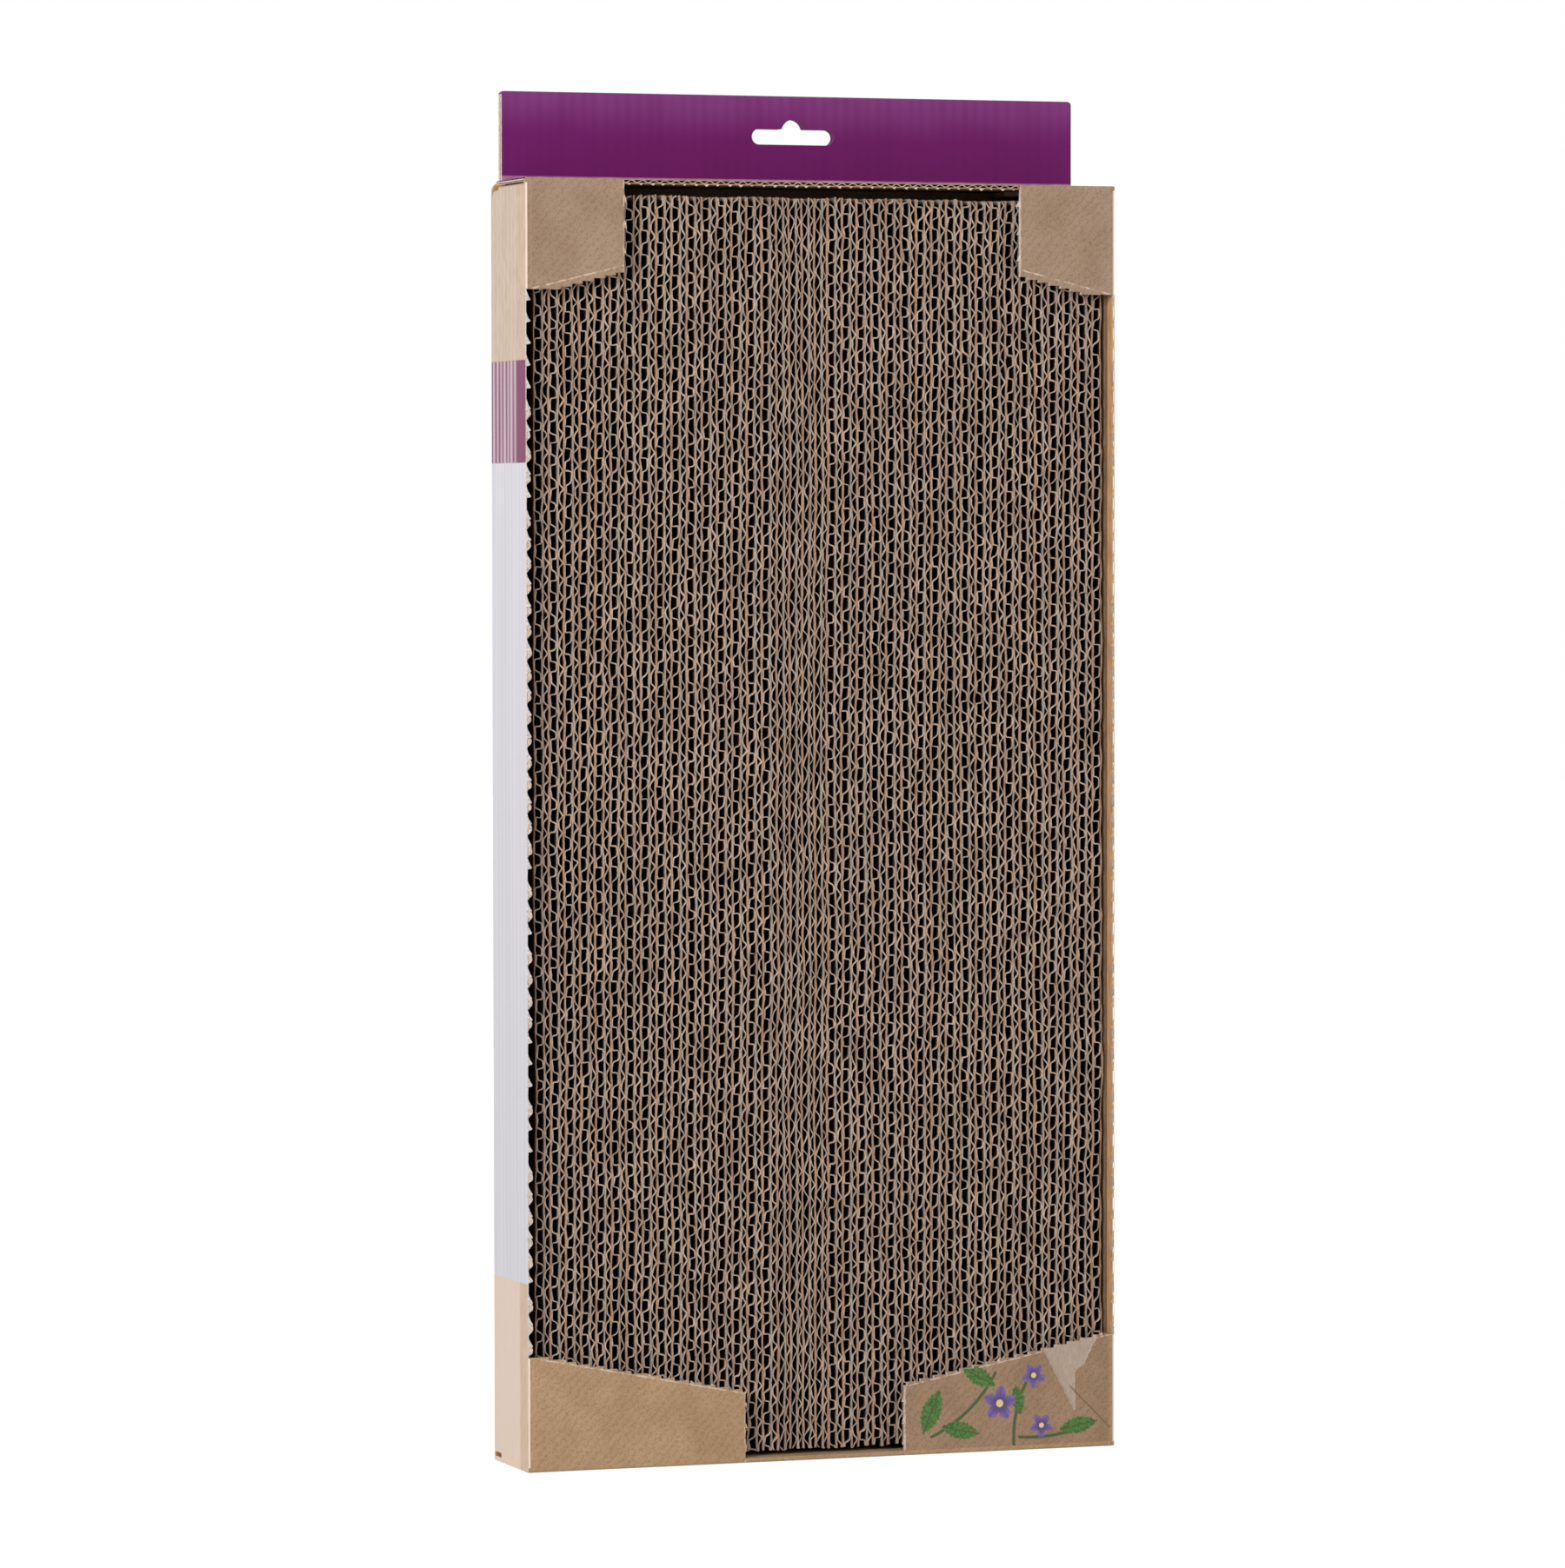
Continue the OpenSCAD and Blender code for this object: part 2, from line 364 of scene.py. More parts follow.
class NodeTree:
    """The nodes of a material or of the world."""

    def __init__(self, owner: bpy.types.Material | bpy.types.World) -> None:
        """Starts with no nodes at all."""
        owner.use_nodes = True
        self.tree = owner.node_tree
        self.tree.nodes.clear()

    def add(self, kind: str, inputs: dict | None = None, out: object = 0, stops: Sequence = (),
            **settings: object) -> object:
        """Adds a node with its settings and its links.

        Args:
            kind: Blender's name of the node's type.
            inputs: a value or a socket for each input, by name or by number.
            out: which output to return, by name or by number, or None for the node itself.
            stops: positions and colours, for a colour ramp.
            settings: the node's own settings.

        Returns:
            The output socket, or the node, or None where it has no output.
        """
        node = self.tree.nodes.new(kind)
        for key, value in settings.items():
            setattr(node, key, value)
        for i, (position, colour) in enumerate(stops):
            elements = node.color_ramp.elements
            stop = elements[i] if i < 2 else elements.new(position)
            stop.position = position
            stop.color = colour
        for key, value in (inputs or {}).items():
            if isinstance(value, bpy.types.NodeSocket):
                self.tree.links.new(value, node.inputs[key])
            else:
                node.inputs[key].default_value = value
        if out is None:
            return node
        return node.outputs[out] if len(node.outputs) else None

    def math(self, operation: str, first: object, second: object = 0.0) -> object:
        """The result of a sum on two numbers."""
        return self.add("ShaderNodeMath", {0: first, 1: second}, operation=operation)


class Finish(NodeTree):
    """A material under way: its nodes, and the point being shaded in millimetres."""

    def __init__(self, name: str, roughness: float, sheen: float = 0.5) -> None:
        """Starts the material with its output, its shader and its coordinates.

        Args:
            name: the material's name.
            roughness: the surface's roughness.
            sheen: how strongly it mirrors, where 0.5 is usual.
        """
        self.material = bpy.data.materials.new(name)
        super().__init__(self.material)
        self.shader = self.add("ShaderNodeBsdfPrincipled", {
            "Roughness": roughness, "Specular IOR Level": sheen,
        }, out=None)
        self.add("ShaderNodeOutputMaterial", {"Surface": self.shader.outputs[0]})
        place = self.add("ShaderNodeTexCoord", out="Object")
        self.point = self.add("ShaderNodeVectorMath", {0: place, "Scale": 1 / MM}, operation="SCALE")
        split = self.add("ShaderNodeSeparateXYZ", {0: self.point}, out=None)
        self.x, self.y, self.z = split.outputs

    def noise(self, size: Vector | float, detail: float = 2, turn: float = 0) -> object:
        """A noise pattern with grains of a given size.

        Args:
            size: the grain's size in millimetres, alike in all directions or one for each axis.
            detail: how many finer layers it has.
            turn: the turn of its axes about Y, in degrees.

        Returns:
            The socket with the pattern, from 0 to 1.
        """
        grain = size if isinstance(size, Vector) else Vector((size,) * 3)
        spread = self.add("ShaderNodeMapping", {
            "Vector": self.point, "Rotation": (0, math.radians(turn), 0), "Scale": grain,
        }, vector_type="TEXTURE")
        return self.add("ShaderNodeTexNoise", {"Vector": spread, "Scale": 1.0, "Detail": detail})

    def step(self, value: object, low: float, high: float) -> object:
        """A smooth step from 0 to 1 as a value goes from low to high."""
        return self.add("ShaderNodeMapRange", {
            "Value": value, "From Min": low, "From Max": high, "To Min": 0.0, "To Max": 1.0,
        }, interpolation_type="SMOOTHSTEP")

    def mix(self, share: object, first: object, second: object) -> object:
        """Mixes two colours by a share, which is 0 for the first one."""
        return self.add("ShaderNodeMix", {0: share, 6: first, 7: second}, out=2, data_type="RGBA")

    def bump(self, height: object, depth: float, normal: object | None = None) -> object:
        """Raises the surface by a pattern.

        Args:
            height: the pattern, from 0 to 1.
            depth: the height of its relief, in metres.
            normal: a normal that already carries a relief.

        Returns:
            The normal.
        """
        inputs = {"Height": height, "Strength": 1.0, "Distance": depth}
        if normal is not None:
            inputs["Normal"] = normal
        return self.add("ShaderNodeBump", inputs)

    def close(self, colour: object, normal: object | None = None) -> bpy.types.Material:
        """Feeds the shader with its colour and its normal, and returns the material."""
        self.tree.links.new(colour, self.shader.inputs["Base Color"])
        if normal is not None:
            self.tree.links.new(normal, self.shader.inputs["Normal"])
        return self.material


@dataclass(frozen=True)
class PadPaper:
    """Recycled testliner or fluting, guillotined across: a pale fibrous cut edge on darker faces,
    darkened further by painted shade inside the flute holes.
    """

    name: str
    edge: str
    edge_dark: str
    # face is the paper's darker face with painted shade in it; deep is the near-black painted shade
    # deeper in the holes.
    face: str
    deep: str
    front: float
    top: float
    edge_depth: float = 0.6
    shade_depth: float = 2.7
    fibre: float = 0.5
    patch: float = 9.0

    def material(self) -> bpy.types.Material:
        """Builds the material, with painted shade that darkens it with the depth behind the pad's front
        and below its top.
        """
        f = Finish(self.name, 0.9, 0.2)
        depth = f.math("SUBTRACT", f.y, self.front)
        ragged = f.math("ADD", depth, f.math("MULTIPLY", f.noise(1.1), -0.7))
        tone = f.step(f.noise(self.patch, 3), 0.3, 0.7)
        fibres = f.step(f.noise(self.fibre, 3), 0.35, 0.75)
        cut_edge = f.mix(f.math("MULTIPLY", f.math("ADD", tone, fibres), 0.5), linear(self.edge),
                         linear(self.edge_dark))
        # Behind the cut edge: the face colour, which holds painted shade.
        wall = f.mix(f.step(ragged, -0.2, self.edge_depth), cut_edge, linear(self.face))
        # Painted shade: near black beyond the shade depth behind the front, left out near the top, where
        # the cut edge's colour comes back.
        inside = f.math("MULTIPLY", f.step(depth, 0.5, self.shade_depth),
                        f.step(f.z, self.top - 0.8, self.top - 2.2))
        upper = f.step(f.z, self.top - 1.6, self.top - 0.8)
        colour = f.mix(inside, f.mix(upper, wall, cut_edge), linear(self.deep))
        return f.close(colour, f.bump(fibres, 0.12 * MM))


@dataclass(frozen=True)
class TornRim:
    """The free edges of a pair of tabs, alike left and right, in millimetres on the front."""

    free_x: float
    fold_x: float
    at_fold: float
    at_free: float

    @classmethod
    def of(cls, node: str, slope: tuple[float, float]) -> TornRim:
        """Reads the edges of a tab's solid, with the heights of its slanted edge in metres."""
        low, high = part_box(node)
        ends = sorted((abs(low.x), abs(high.x)))
        return cls(ends[0] / MM, ends[1] / MM, slope[0] / MM, slope[1] / MM)


@dataclass(frozen=True)
class KraftBoard:
    """Uncoated kraft liner on board: mottled, with a fine relief of pits that runs slantwise."""

    name: str
    pale: str
    mid: str
    dark: str
    cloud: float = 14.0
    pit: tuple[float, float, float] = (1.2, 1.0, 0.6)
    row: float = 2.6
    row_share: float = 0.07
    turn: float = -45.0
    grain: float = 0.42
    score_x: float = 108.0
    rim: TornRim | None = None
    rim_w: float = 0.3
    lip: str = "#d6c5b4"

    def tint(self, f: Finish) -> tuple[object, object]:
        """Draws the kraft on a finish.

        Args:
            f: the finish under way.

        Returns:
            The colour and the normal.
        """
        clouds = f.step(f.noise(self.cloud, 2), 0.2, 0.8)
        per_mm = math.sqrt(0.5) * 2 * math.pi / self.row
        across = f.math("MULTIPLY", f.math("SUBTRACT", f.x, f.z), per_mm)
        wander = f.math("MULTIPLY", f.noise(7.0, 1), 9.0)
        wave = f.math("SINE", f.math("ADD", across, wander))
        rows = f.math("ADD", f.math("MULTIPLY", wave, self.row_share), 0.03)
        pits = f.step(f.math("ADD", f.noise(Vector(self.pit), 1, self.turn), rows), 0.54, 0.68)
        grain = f.step(f.noise(self.grain, 3), 0.45, 0.7)
        tone = f.mix(clouds, linear(self.mid), linear(self.pale))
        tone = f.mix(f.math("MULTIPLY", pits, 0.3), tone, linear(self.dark))
        tone = f.mix(f.math("MULTIPLY", grain, 0.34), tone, linear(self.dark))
        # Painted highlight: a pale line along the score crease beside each fold.
        score_highlight = f.math("ABSOLUTE", f.math("SUBTRACT", f.math("ABSOLUTE", f.x), self.score_x))
        tone = f.mix(f.math("MULTIPLY", f.step(score_highlight, 0.35, 0.1), 0.55), tone, linear(self.pale))
        if self.rim:
            tone = f.mix(f.math("MULTIPLY", self.torn(f), 0.6), tone, linear(self.lip))
        relief = f.math("SUBTRACT", f.math("MULTIPLY", grain, 0.3), pits)
        return tone, f.bump(relief, 0.045 * MM)

    def torn(self, f: Finish) -> object:
        """The share of bare fibres, which is 1 along the torn edges of the tabs.

        Args:
            f: the finish under way.

        Returns:
            The socket with the share.
        """
        rim = self.rim
        across = f.math("ABSOLUTE", f.x)
        rise = (rim.at_free - rim.at_fold) / (rim.fold_x - rim.free_x)
        inwards = f.math("SUBTRACT", rim.fold_x, across)
        line = f.math("ADD", f.math("MULTIPLY", inwards, rise), rim.at_fold)
        slant = f.math("ABSOLUTE", f.math("SUBTRACT", f.z, line))
        edge = f.math("ABSOLUTE", f.math("SUBTRACT", across, rim.free_x))
        reach = f.math("MULTIPLY", f.step(f.noise(2.2, 2), 0.4, 0.6), self.rim_w)
        near = f.math("SUBTRACT", f.math("MINIMUM", slant, edge), reach)
        return f.step(near, 0.12, -0.1)

    def material(self) -> bpy.types.Material:
        """Builds the material."""
        f = Finish(self.name, 0.85, 0.25)
        return f.close(*self.tint(f))


@dataclass(frozen=True)
class CutBoard:
    """The torn or cut edge of single-wall board: pale fibres over layers of brown paper."""

    name: str
    pale: str
    dark: str

    def material(self) -> bpy.types.Material:
        """Builds the material."""
        f = Finish(self.name, 0.95, 0.2)
        fibres = f.noise(Vector((0.5, 0.5, 0.9)), 4)
        colour = f.mix(f.step(fibres, 0.35, 0.68), linear(self.pale), linear(self.dark))
        return f.close(colour, f.bump(fibres, 0.2 * MM))


@dataclass(frozen=True)
class PrintedBoard:
    """Offset print under gloss varnish on the carton's outside, in bands over its height.

    The flutes beneath show through the varnish as fine upright stripes. Behind the glare edge the
    varnish's glare is painted into the colour along those stripes, as painted reflection.
    """

    name: str
    kraft: str
    kraft_dark: str
    kraft_low: str
    white: str
    white_dull: str
    violet: str
    violet_glare: str
    inner: str
    inner_dark: str
    fold: str
    half_w: float
    half_d: float
    white_z: tuple[float, float]
    violet_top: float
    fold_z: tuple[float, float]
    flute: float = 4.1
    # The Y behind which the glare of the varnish is painted in, as painted reflection.
    glare_edge: float = -11.5
    low_z: tuple[float, float] = (260.0, 120.0)

    def material(self) -> bpy.types.Material:
        """Builds the material. Faces inside the board's outer skin stay bare kraft."""
        f = Finish(self.name, 0.36, 0.2)
        outside = f.step(f.math("ABSOLUTE", f.x), self.half_w - 0.22, self.half_w - 0.12)
        behind = f.step(f.y, self.half_d - 0.45, self.half_d - 0.35)
        before = f.step(f.y, -self.half_d + 1.2, -self.half_d + 1.1)
        outer = f.math("MAXIMUM", f.math("MAXIMUM", outside, behind), before)
        along = f.math("ADD", f.y, f.x)
        wave = f.math("SINE", f.math("MULTIPLY", along, 2 * math.pi / self.flute))
        drift = f.noise(Vector((6, 3.2, 160)), 2)
        stripes = f.math("ADD", f.math("MULTIPLY", wave, 0.22), drift)
        # Painted reflection: the varnish's glare in streaks behind the glare edge, paler kraft and a pale
        # violet. The lower kraft is lightened as well, most in that zone.
        varnish = f.step(f.y, self.glare_edge, self.glare_edge + 1.5)
        glare = f.math("MULTIPLY", varnish, f.step(stripes, 0.2, 0.85))
        grain = f.step(f.noise(Vector((1.2, 1.2, 5)), 3), 0.35, 0.75)
        kraft = f.mix(f.math("MULTIPLY", grain, 0.7), linear(self.kraft), linear(self.kraft_dark))
        kraft = f.mix(f.math("MULTIPLY", glare, 0.22), kraft, linear(self.white))
        lit = f.math("ADD", f.math("MULTIPLY", varnish, 0.8), 0.2)
        lower = f.math("MULTIPLY", f.step(f.z, *self.low_z), lit)
        kraft = f.mix(f.math("MULTIPLY", lower, 0.85), kraft, linear(self.kraft_low))
        white = f.mix(f.math("MULTIPLY", f.step(stripes, 0.2, 0.85), 0.5), linear(self.white),
                      linear(self.white_dull))
        violet = f.mix(f.math("MULTIPLY", glare, 0.85), linear(self.violet), linear(self.violet_glare))
        low, high = self.white_z
        colour = f.mix(f.step(f.z, low - 0.1, low + 0.1), kraft, white)
        colour = f.mix(f.step(f.z, high - 0.1, high + 0.1), colour, violet)
        colour = f.mix(f.step(f.z, self.violet_top - 0.1, self.violet_top + 0.1), colour, kraft)
        # Painted highlight along the rounded front fold, with pale cracked fibres in it; left out beside
        # the torn window.
        window = f.math("MULTIPLY", f.step(f.z, self.fold_z[0] - 0.2, self.fold_z[0] + 0.2),
                        f.step(f.z, self.fold_z[1] + 0.2, self.fold_z[1] - 0.2))
        fold = f.math("MULTIPLY", f.step(f.y, -self.half_d + 0.42, -self.half_d + 0.25),
                      f.math("SUBTRACT", 0.55, f.math("MULTIPLY", window, 0.55)))
        colour = f.mix(fold, colour, linear(self.fold))
        bare = f.mix(f.step(f.noise(Vector((1.5, 1.5, 9)), 3), 0.3, 0.75), linear(self.inner),
                     linear(self.inner_dark))
        return f.close(f.mix(outer, bare, colour), f.bump(stripes, 0.05 * MM))


@dataclass(frozen=True)
class HeaderPrint:
    """Solid violet offset print under varnish, paler towards the top as a painted highlight where the
    board rolls over.
    """

    name: str
    deep: str
    mid: str
    # pale: the violet of the painted highlight over the rolled top.
    pale: str
    # The pale pink of the painted highlight along the header's foot.
    foot_highlight: str
    bottom: float
    top: float
    flute: float = 4.1

    def material(self) -> bpy.types.Material:
        """Builds the material."""
        f = Finish(self.name, 0.5, 0.1)
        wave = f.math("SINE", f.math("MULTIPLY", f.x, 2 * math.pi / self.flute))
        drift = f.noise(Vector((9, 9, 60)), 2)
        stripes = f.math("ADD", f.math("MULTIPLY", wave, 0.12), drift)
        # Painted highlight: the violet pales towards the top, where the rolled board catches the light.
        height = f.math("ADD", f.z, f.math("MULTIPLY", f.noise(22, 1), 6.0))
        rise = f.step(height, self.bottom + 18, self.top + 3)
        colour = f.mix(rise, linear(self.mid), linear(self.pale))
        colour = f.mix(f.math("MULTIPLY", f.step(stripes, 0.3, 0.75), 0.25), colour, linear(self.deep))
        # Painted highlight: a pale pinkish line along the header's foot.
        crease = f.math("MULTIPLY", f.step(f.z, self.bottom + 2.4, self.bottom + 2.1), f.noise(6.0, 2))
        colour = f.mix(crease, colour, linear(self.foot_highlight))
        return f.close(colour, f.bump(stripes, 0.04 * MM))


@dataclass(frozen=True)
class Flower:
    """A five-petalled flower of the sprig print, in millimetres on the front."""

    x: float
    z: float
    radius: float
    turn: float


@dataclass(frozen=True)
class Leaf:
    """An oval leaf of the sprig print with a toothed edge, in millimetres on the front."""

    x: float
    z: float
    length: float
    width: float
    turn: float


@dataclass(frozen=True)
class Stem:
    """A bowed stem of the sprig print, in millimetres on the front."""

    x: float
    z: float
    length: float
    bow: float
    turn: float


@dataclass(frozen=True)
class SprigPrint:
    """Kraft board printed with a plain sprig of flowers and leaves."""

    name: str
    ground: KraftBoard
    petal: str
    petal_dark: str
    heart: str
    leaf: str
    leaf_dark: str
    stem: str
    flowers: tuple[Flower, ...]
    leaves: tuple[Leaf, ...]
    stems: tuple[Stem, ...]
    bare: str
    rim: str
    crease: str
    stem_w: float = 1.1
    bare_x: float = 84.2
    bare_z: float = 33.5
    bare_slant: float = 0.53
    crease_at: float = 115.0

    def local(self, f: Finish, x: float, z: float, turn: float) -> tuple[object, object]:
        """Coordinates on the front, centred on a motif and turned with it.

        Args:
            f: the finish under way.
            x: the motif's place across.
            z: its height.
            turn: its turn, in degrees.

        Returns:
            The distance along the motif and the distance across it.
        """
        placed = f.add("ShaderNodeMapping", {
            "Vector": f.point, "Location": (x, 0, z), "Rotation": (0, -math.radians(turn), 0),
        }, vector_type="TEXTURE")
        split = f.add("ShaderNodeSeparateXYZ", {0: placed}, out=None)
        return split.outputs[0], split.outputs[2]

    def material(self) -> bpy.types.Material:
        """Builds the material: stems first, then leaves and flowers over them."""
        f = Finish(self.name, 0.8, 0.25)
        colour, normal = self.ground.tint(f)
        vein = f.step(f.noise(0.9, 2), 0.35, 0.7)
        for stem in self.stems:
            along, across = self.local(f, stem.x, stem.z, stem.turn)
            bow = f.math("MULTIPLY", f.math("MULTIPLY", along, along), stem.bow)
            off = f.math("ABSOLUTE", f.math("SUBTRACT", across, bow))
            within = f.math("MULTIPLY", f.step(off, self.stem_w / 2 + 0.15, self.stem_w / 2 - 0.1),
                            f.step(f.math("ABSOLUTE", along), stem.length / 2, stem.length / 2 - 0.4))
            colour = f.mix(within, colour, linear(self.stem))
        for leaf in self.leaves:
            along, across = self.local(f, leaf.x, leaf.z, leaf.turn)
            reach = f.math("MULTIPLY", along, 2 / leaf.length)
            teeth = f.math("MULTIPLY", f.math("SINE", f.math("MULTIPLY", along, 3.6)), 0.08)
            room = f.math("SUBTRACT", 1.0, f.math("MULTIPLY", reach, reach))
            spread = f.math("ABSOLUTE", f.math("MULTIPLY", across, 2 / leaf.width))
            inside = f.math("SUBTRACT", f.math("ADD", room, teeth), spread)
            green = f.mix(vein, linear(self.leaf), linear(self.leaf_dark))
            green = f.mix(f.step(spread, 0.12, 0.02), green, linear(self.stem))
            colour = f.mix(f.step(inside, 0.0, 0.08), colour, green)
        for flower in self.flowers:
            along, across = self.local(f, flower.x, flower.z, flower.turn)
            square = f.math("ADD", f.math("MULTIPLY", along, along), f.math("MULTIPLY", across, across))
            out = f.math("DIVIDE", f.math("SQRT", square), flower.radius)
            angle = f.math("ARCTAN2", across, along)
            lobes = f.math("ABSOLUTE", f.math("COSINE", f.math("MULTIPLY", angle, 2.5)))
            edge = f.math("ADD", f.math("MULTIPLY", lobes, 0.5), 0.5)
            petals = f.mix(f.step(out, 0.2, 0.9), linear(self.petal_dark), linear(self.petal))
            fold = f.math("MULTIPLY", f.step(lobes, 0.93, 1.0), 0.5)
            petals = f.mix(fold, petals, linear(self.petal_dark))
            colour = f.mix(f.step(f.math("SUBTRACT", edge, out), 0.0, 0.06), colour, petals)
            colour = f.mix(f.step(out, 0.24, 0.18), colour, linear(self.heart))
        return f.close(*self.damage(f, colour, normal))

    def damage(self, f: Finish, colour: object, normal: object) -> tuple[object, object]:
        """Bares the board where a wedge of the liner was torn off, and creases the corner with a bump and
        a line of painted shade.

        Args:
            f: the finish under way.
            colour: the print's colour.
            normal: the print's normal.

        Returns:
            The colour and the normal with the damage.
        """
        ragged = f.math("ADD", f.x, f.math("MULTIPLY", f.noise(2.2, 2), 1.6))
        down = f.math("SUBTRACT", self.bare_z, f.z)
        left = f.math("ADD", f.math("MULTIPLY", down, self.bare_slant), self.bare_x + 0.8)
        wide = f.math("SUBTRACT", self.bare_x + 16.5, f.math("MULTIPLY", down, 0.5))
        narrow = self.bare_x + 11.2
        share = f.step(f.z, 26.5, 30.5)
        right = f.math("ADD", f.math("MULTIPLY", share, f.math("SUBTRACT", wide, narrow)), narrow)
        inside = f.math("MINIMUM", f.math("SUBTRACT", ragged, left), f.math("SUBTRACT", right, ragged))
        torn = f.step(inside, 0.0, 0.25)
        fibres = f.mix(f.noise(Vector((0.8, 1.5, 2.5)), 3), linear(self.bare), linear(self.rim))
        colour = f.mix(f.step(inside, -0.45, -0.15), colour, linear(self.rim))
        colour = f.mix(torn, colour, fibres)
        # Painted shade along the diagonal crease, beside its bump.
        off = f.math("SUBTRACT", f.math("ADD", f.x, f.z), self.crease_at)
        line = f.math("MULTIPLY", f.step(f.math("ABSOLUTE", off), 0.6, 0.15), f.step(f.x, 92.0, 93.5))
        colour = f.mix(f.math("MULTIPLY", line, 0.7), colour, linear(self.crease))
        beyond = f.math("MULTIPLY", f.step(off, 0.0, 1.2), f.step(f.x, 92.0, 93.5))
        return colour, f.bump(f.math("SUBTRACT", beyond, torn), 0.25 * MM, normal)


# Sub-assemblies


@dataclass(frozen=True)
class Lamp:
    """A soft square lamp: where it stands, the length of its sides in metres and its watts."""

    name: str
    place: tuple[float, float, float]
    size: float
    power: float


@dataclass
class Studio:
    """Pale floor and backdrop, soft lamps and the camera at the photograph's angle."""

    camera_at: tuple[float, float, float] = (-0.8838, -2.4452, 0.3306)
    camera_turn: tuple[float, float, float] = (87.958, 0.074, -19.695)
    lens: float = 168.47
    floor_size: float = 12.0
    floor_grey: float = 0.92
    floor_glow: float = 0.6
    world_light: float = 0.55
    aim: tuple[float, float, float] = (0, 0, 0.24)
    lamps: tuple[Lamp, ...] = (
        Lamp("key_lamp", (-2.1, -1.42, 1.0), 0.7, 50),
        Lamp("fill_lamp", (1.5, -1.9, 0.95), 0.9, 8),
    )

    def camera(self) -> None:
        """Sets up the camera."""
        data = bpy.data.cameras.new("camera")
        data.lens = self.lens
        data.clip_start, data.clip_end = 0.05, 60.0
        camera = bpy.data.objects.new("camera", data)
        camera.location = self.camera_at
        camera.rotation_euler = [math.radians(a) for a in self.camera_turn]
        bpy.context.scene.collection.objects.link(camera)
        bpy.context.scene.camera = camera

    def floor(self) -> None:
        """Lays a white floor that keeps the object's shadow."""
        bpy.ops.object.select_all(action="DESELECT")
        bpy.ops.mesh.primitive_plane_add(size=self.floor_size, location=(0, 0, -0.0002))
        floor = settled(named("studio_floor"))
        f = Finish("studio_floor_paint", 0.9, 0.0)
        seen = f.add("ShaderNodeLightPath", out="Is Camera Ray")
        f.shader.inputs["Base Color"].default_value = (*[self.floor_grey] * 3, 1)
        f.shader.inputs["Emission Color"].default_value = (1, 1, 1, 1)
        f.tree.links.new(f.math("MULTIPLY", seen, self.floor_glow), f.shader.inputs["Emission Strength"])
        dressed(floor, f.material)

    def world(self) -> None:
        """Surrounds everything with white, dimmer as a light than to the eye."""
        world = bpy.data.worlds.new("studio_world")
        nodes = NodeTree(world)
        paths = nodes.add("ShaderNodeLightPath", out=None).outputs
        seen = nodes.math("MAXIMUM", paths["Is Camera Ray"],
                          nodes.math("MAXIMUM", paths["Is Glossy Ray"], paths["Is Transmission Ray"]))
        level = nodes.add("ShaderNodeMapRange", {
            "Value": seen, "To Min": self.world_light, "To Max": 1.0,
        })
        white = nodes.add("ShaderNodeBackground", {"Color": (1, 1, 1, 1), "Strength": level})
        nodes.add("ShaderNodeOutputWorld", {"Surface": white})
        bpy.context.scene.world = world

    def light(self, lamp: Lamp) -> None:
        """Adds a lamp that shines at the middle of the object.

        Args:
            lamp: what is added.
        """
        data = bpy.data.lights.new(lamp.name, "AREA")
        data.size = lamp.size
        data.energy = lamp.power
        piece = bpy.data.objects.new(lamp.name, data)
        piece.location = lamp.place
        aim = Vector(self.aim) - Vector(lamp.place)
        piece.rotation_euler = aim.to_track_quat("-Z", "Y").to_euler()
        bpy.context.scene.collection.objects.link(piece)

    def build(self) -> None:
        """Sets up the whole studio."""
        self.camera()
        self.floor()
        self.world()
        for lamp in self.lamps:
            self.light(lamp)
        bpy.context.scene.view_settings.view_transform = "Standard"


@dataclass(frozen=True)
class FluteSheet:
    """One layer of fluted paper, as the course of its wave over a pitch.

    A point of the course is a share of the pitch, counted downwards, and a share of the room
    between the two liners.
    """

    pitch: float
    course: tuple[tuple[float, float], ...]

    def pattern(self, name: str, room: float, paper: float, depths: Sequence[float],
                top: float, length: float) -> bpy.types.Object:
        """Models one pitch and repeats it down the whole length.

        Args:
            name: the object's name.
            room: the space between the liners, in metres.
            paper: the thickness of the paper.
            depths: the Y of each line of points from the front to the back.
            top: the height of its upper end.
            length: how far down it has to reach.

        Returns:
            The sheet, as a surface with no thickness at X from 0 to the room.
        """
        course = [*self.course, (1 + self.course[0][0], self.course[0][1])]
        rows = [[Vector((paper / 2 + share * (room - paper), y, top - down * self.pitch))
                 for y in depths]
                for down, share in course]
        piece = sheet(name, rows)
        finished(piece, "ARRAY", count=math.ceil(length / self.pitch), use_relative_offset=False,
                 use_constant_offset=True, constant_offset_displace=(0, 0, -self.pitch),
                 use_merge_vertices=True, merge_threshold=1e-6)
        return piece


@dataclass
class PadStock:
    """What the pad's strips are copied from, between the first strip's lowest and highest corner."""

    low: Vector
    high: Vector
    papers: tuple[bpy.types.Material, ...]
    outer: bpy.types.Object
    middle: bpy.types.Object
    flutes: dict[str, bpy.types.Object] = field(default_factory=dict)


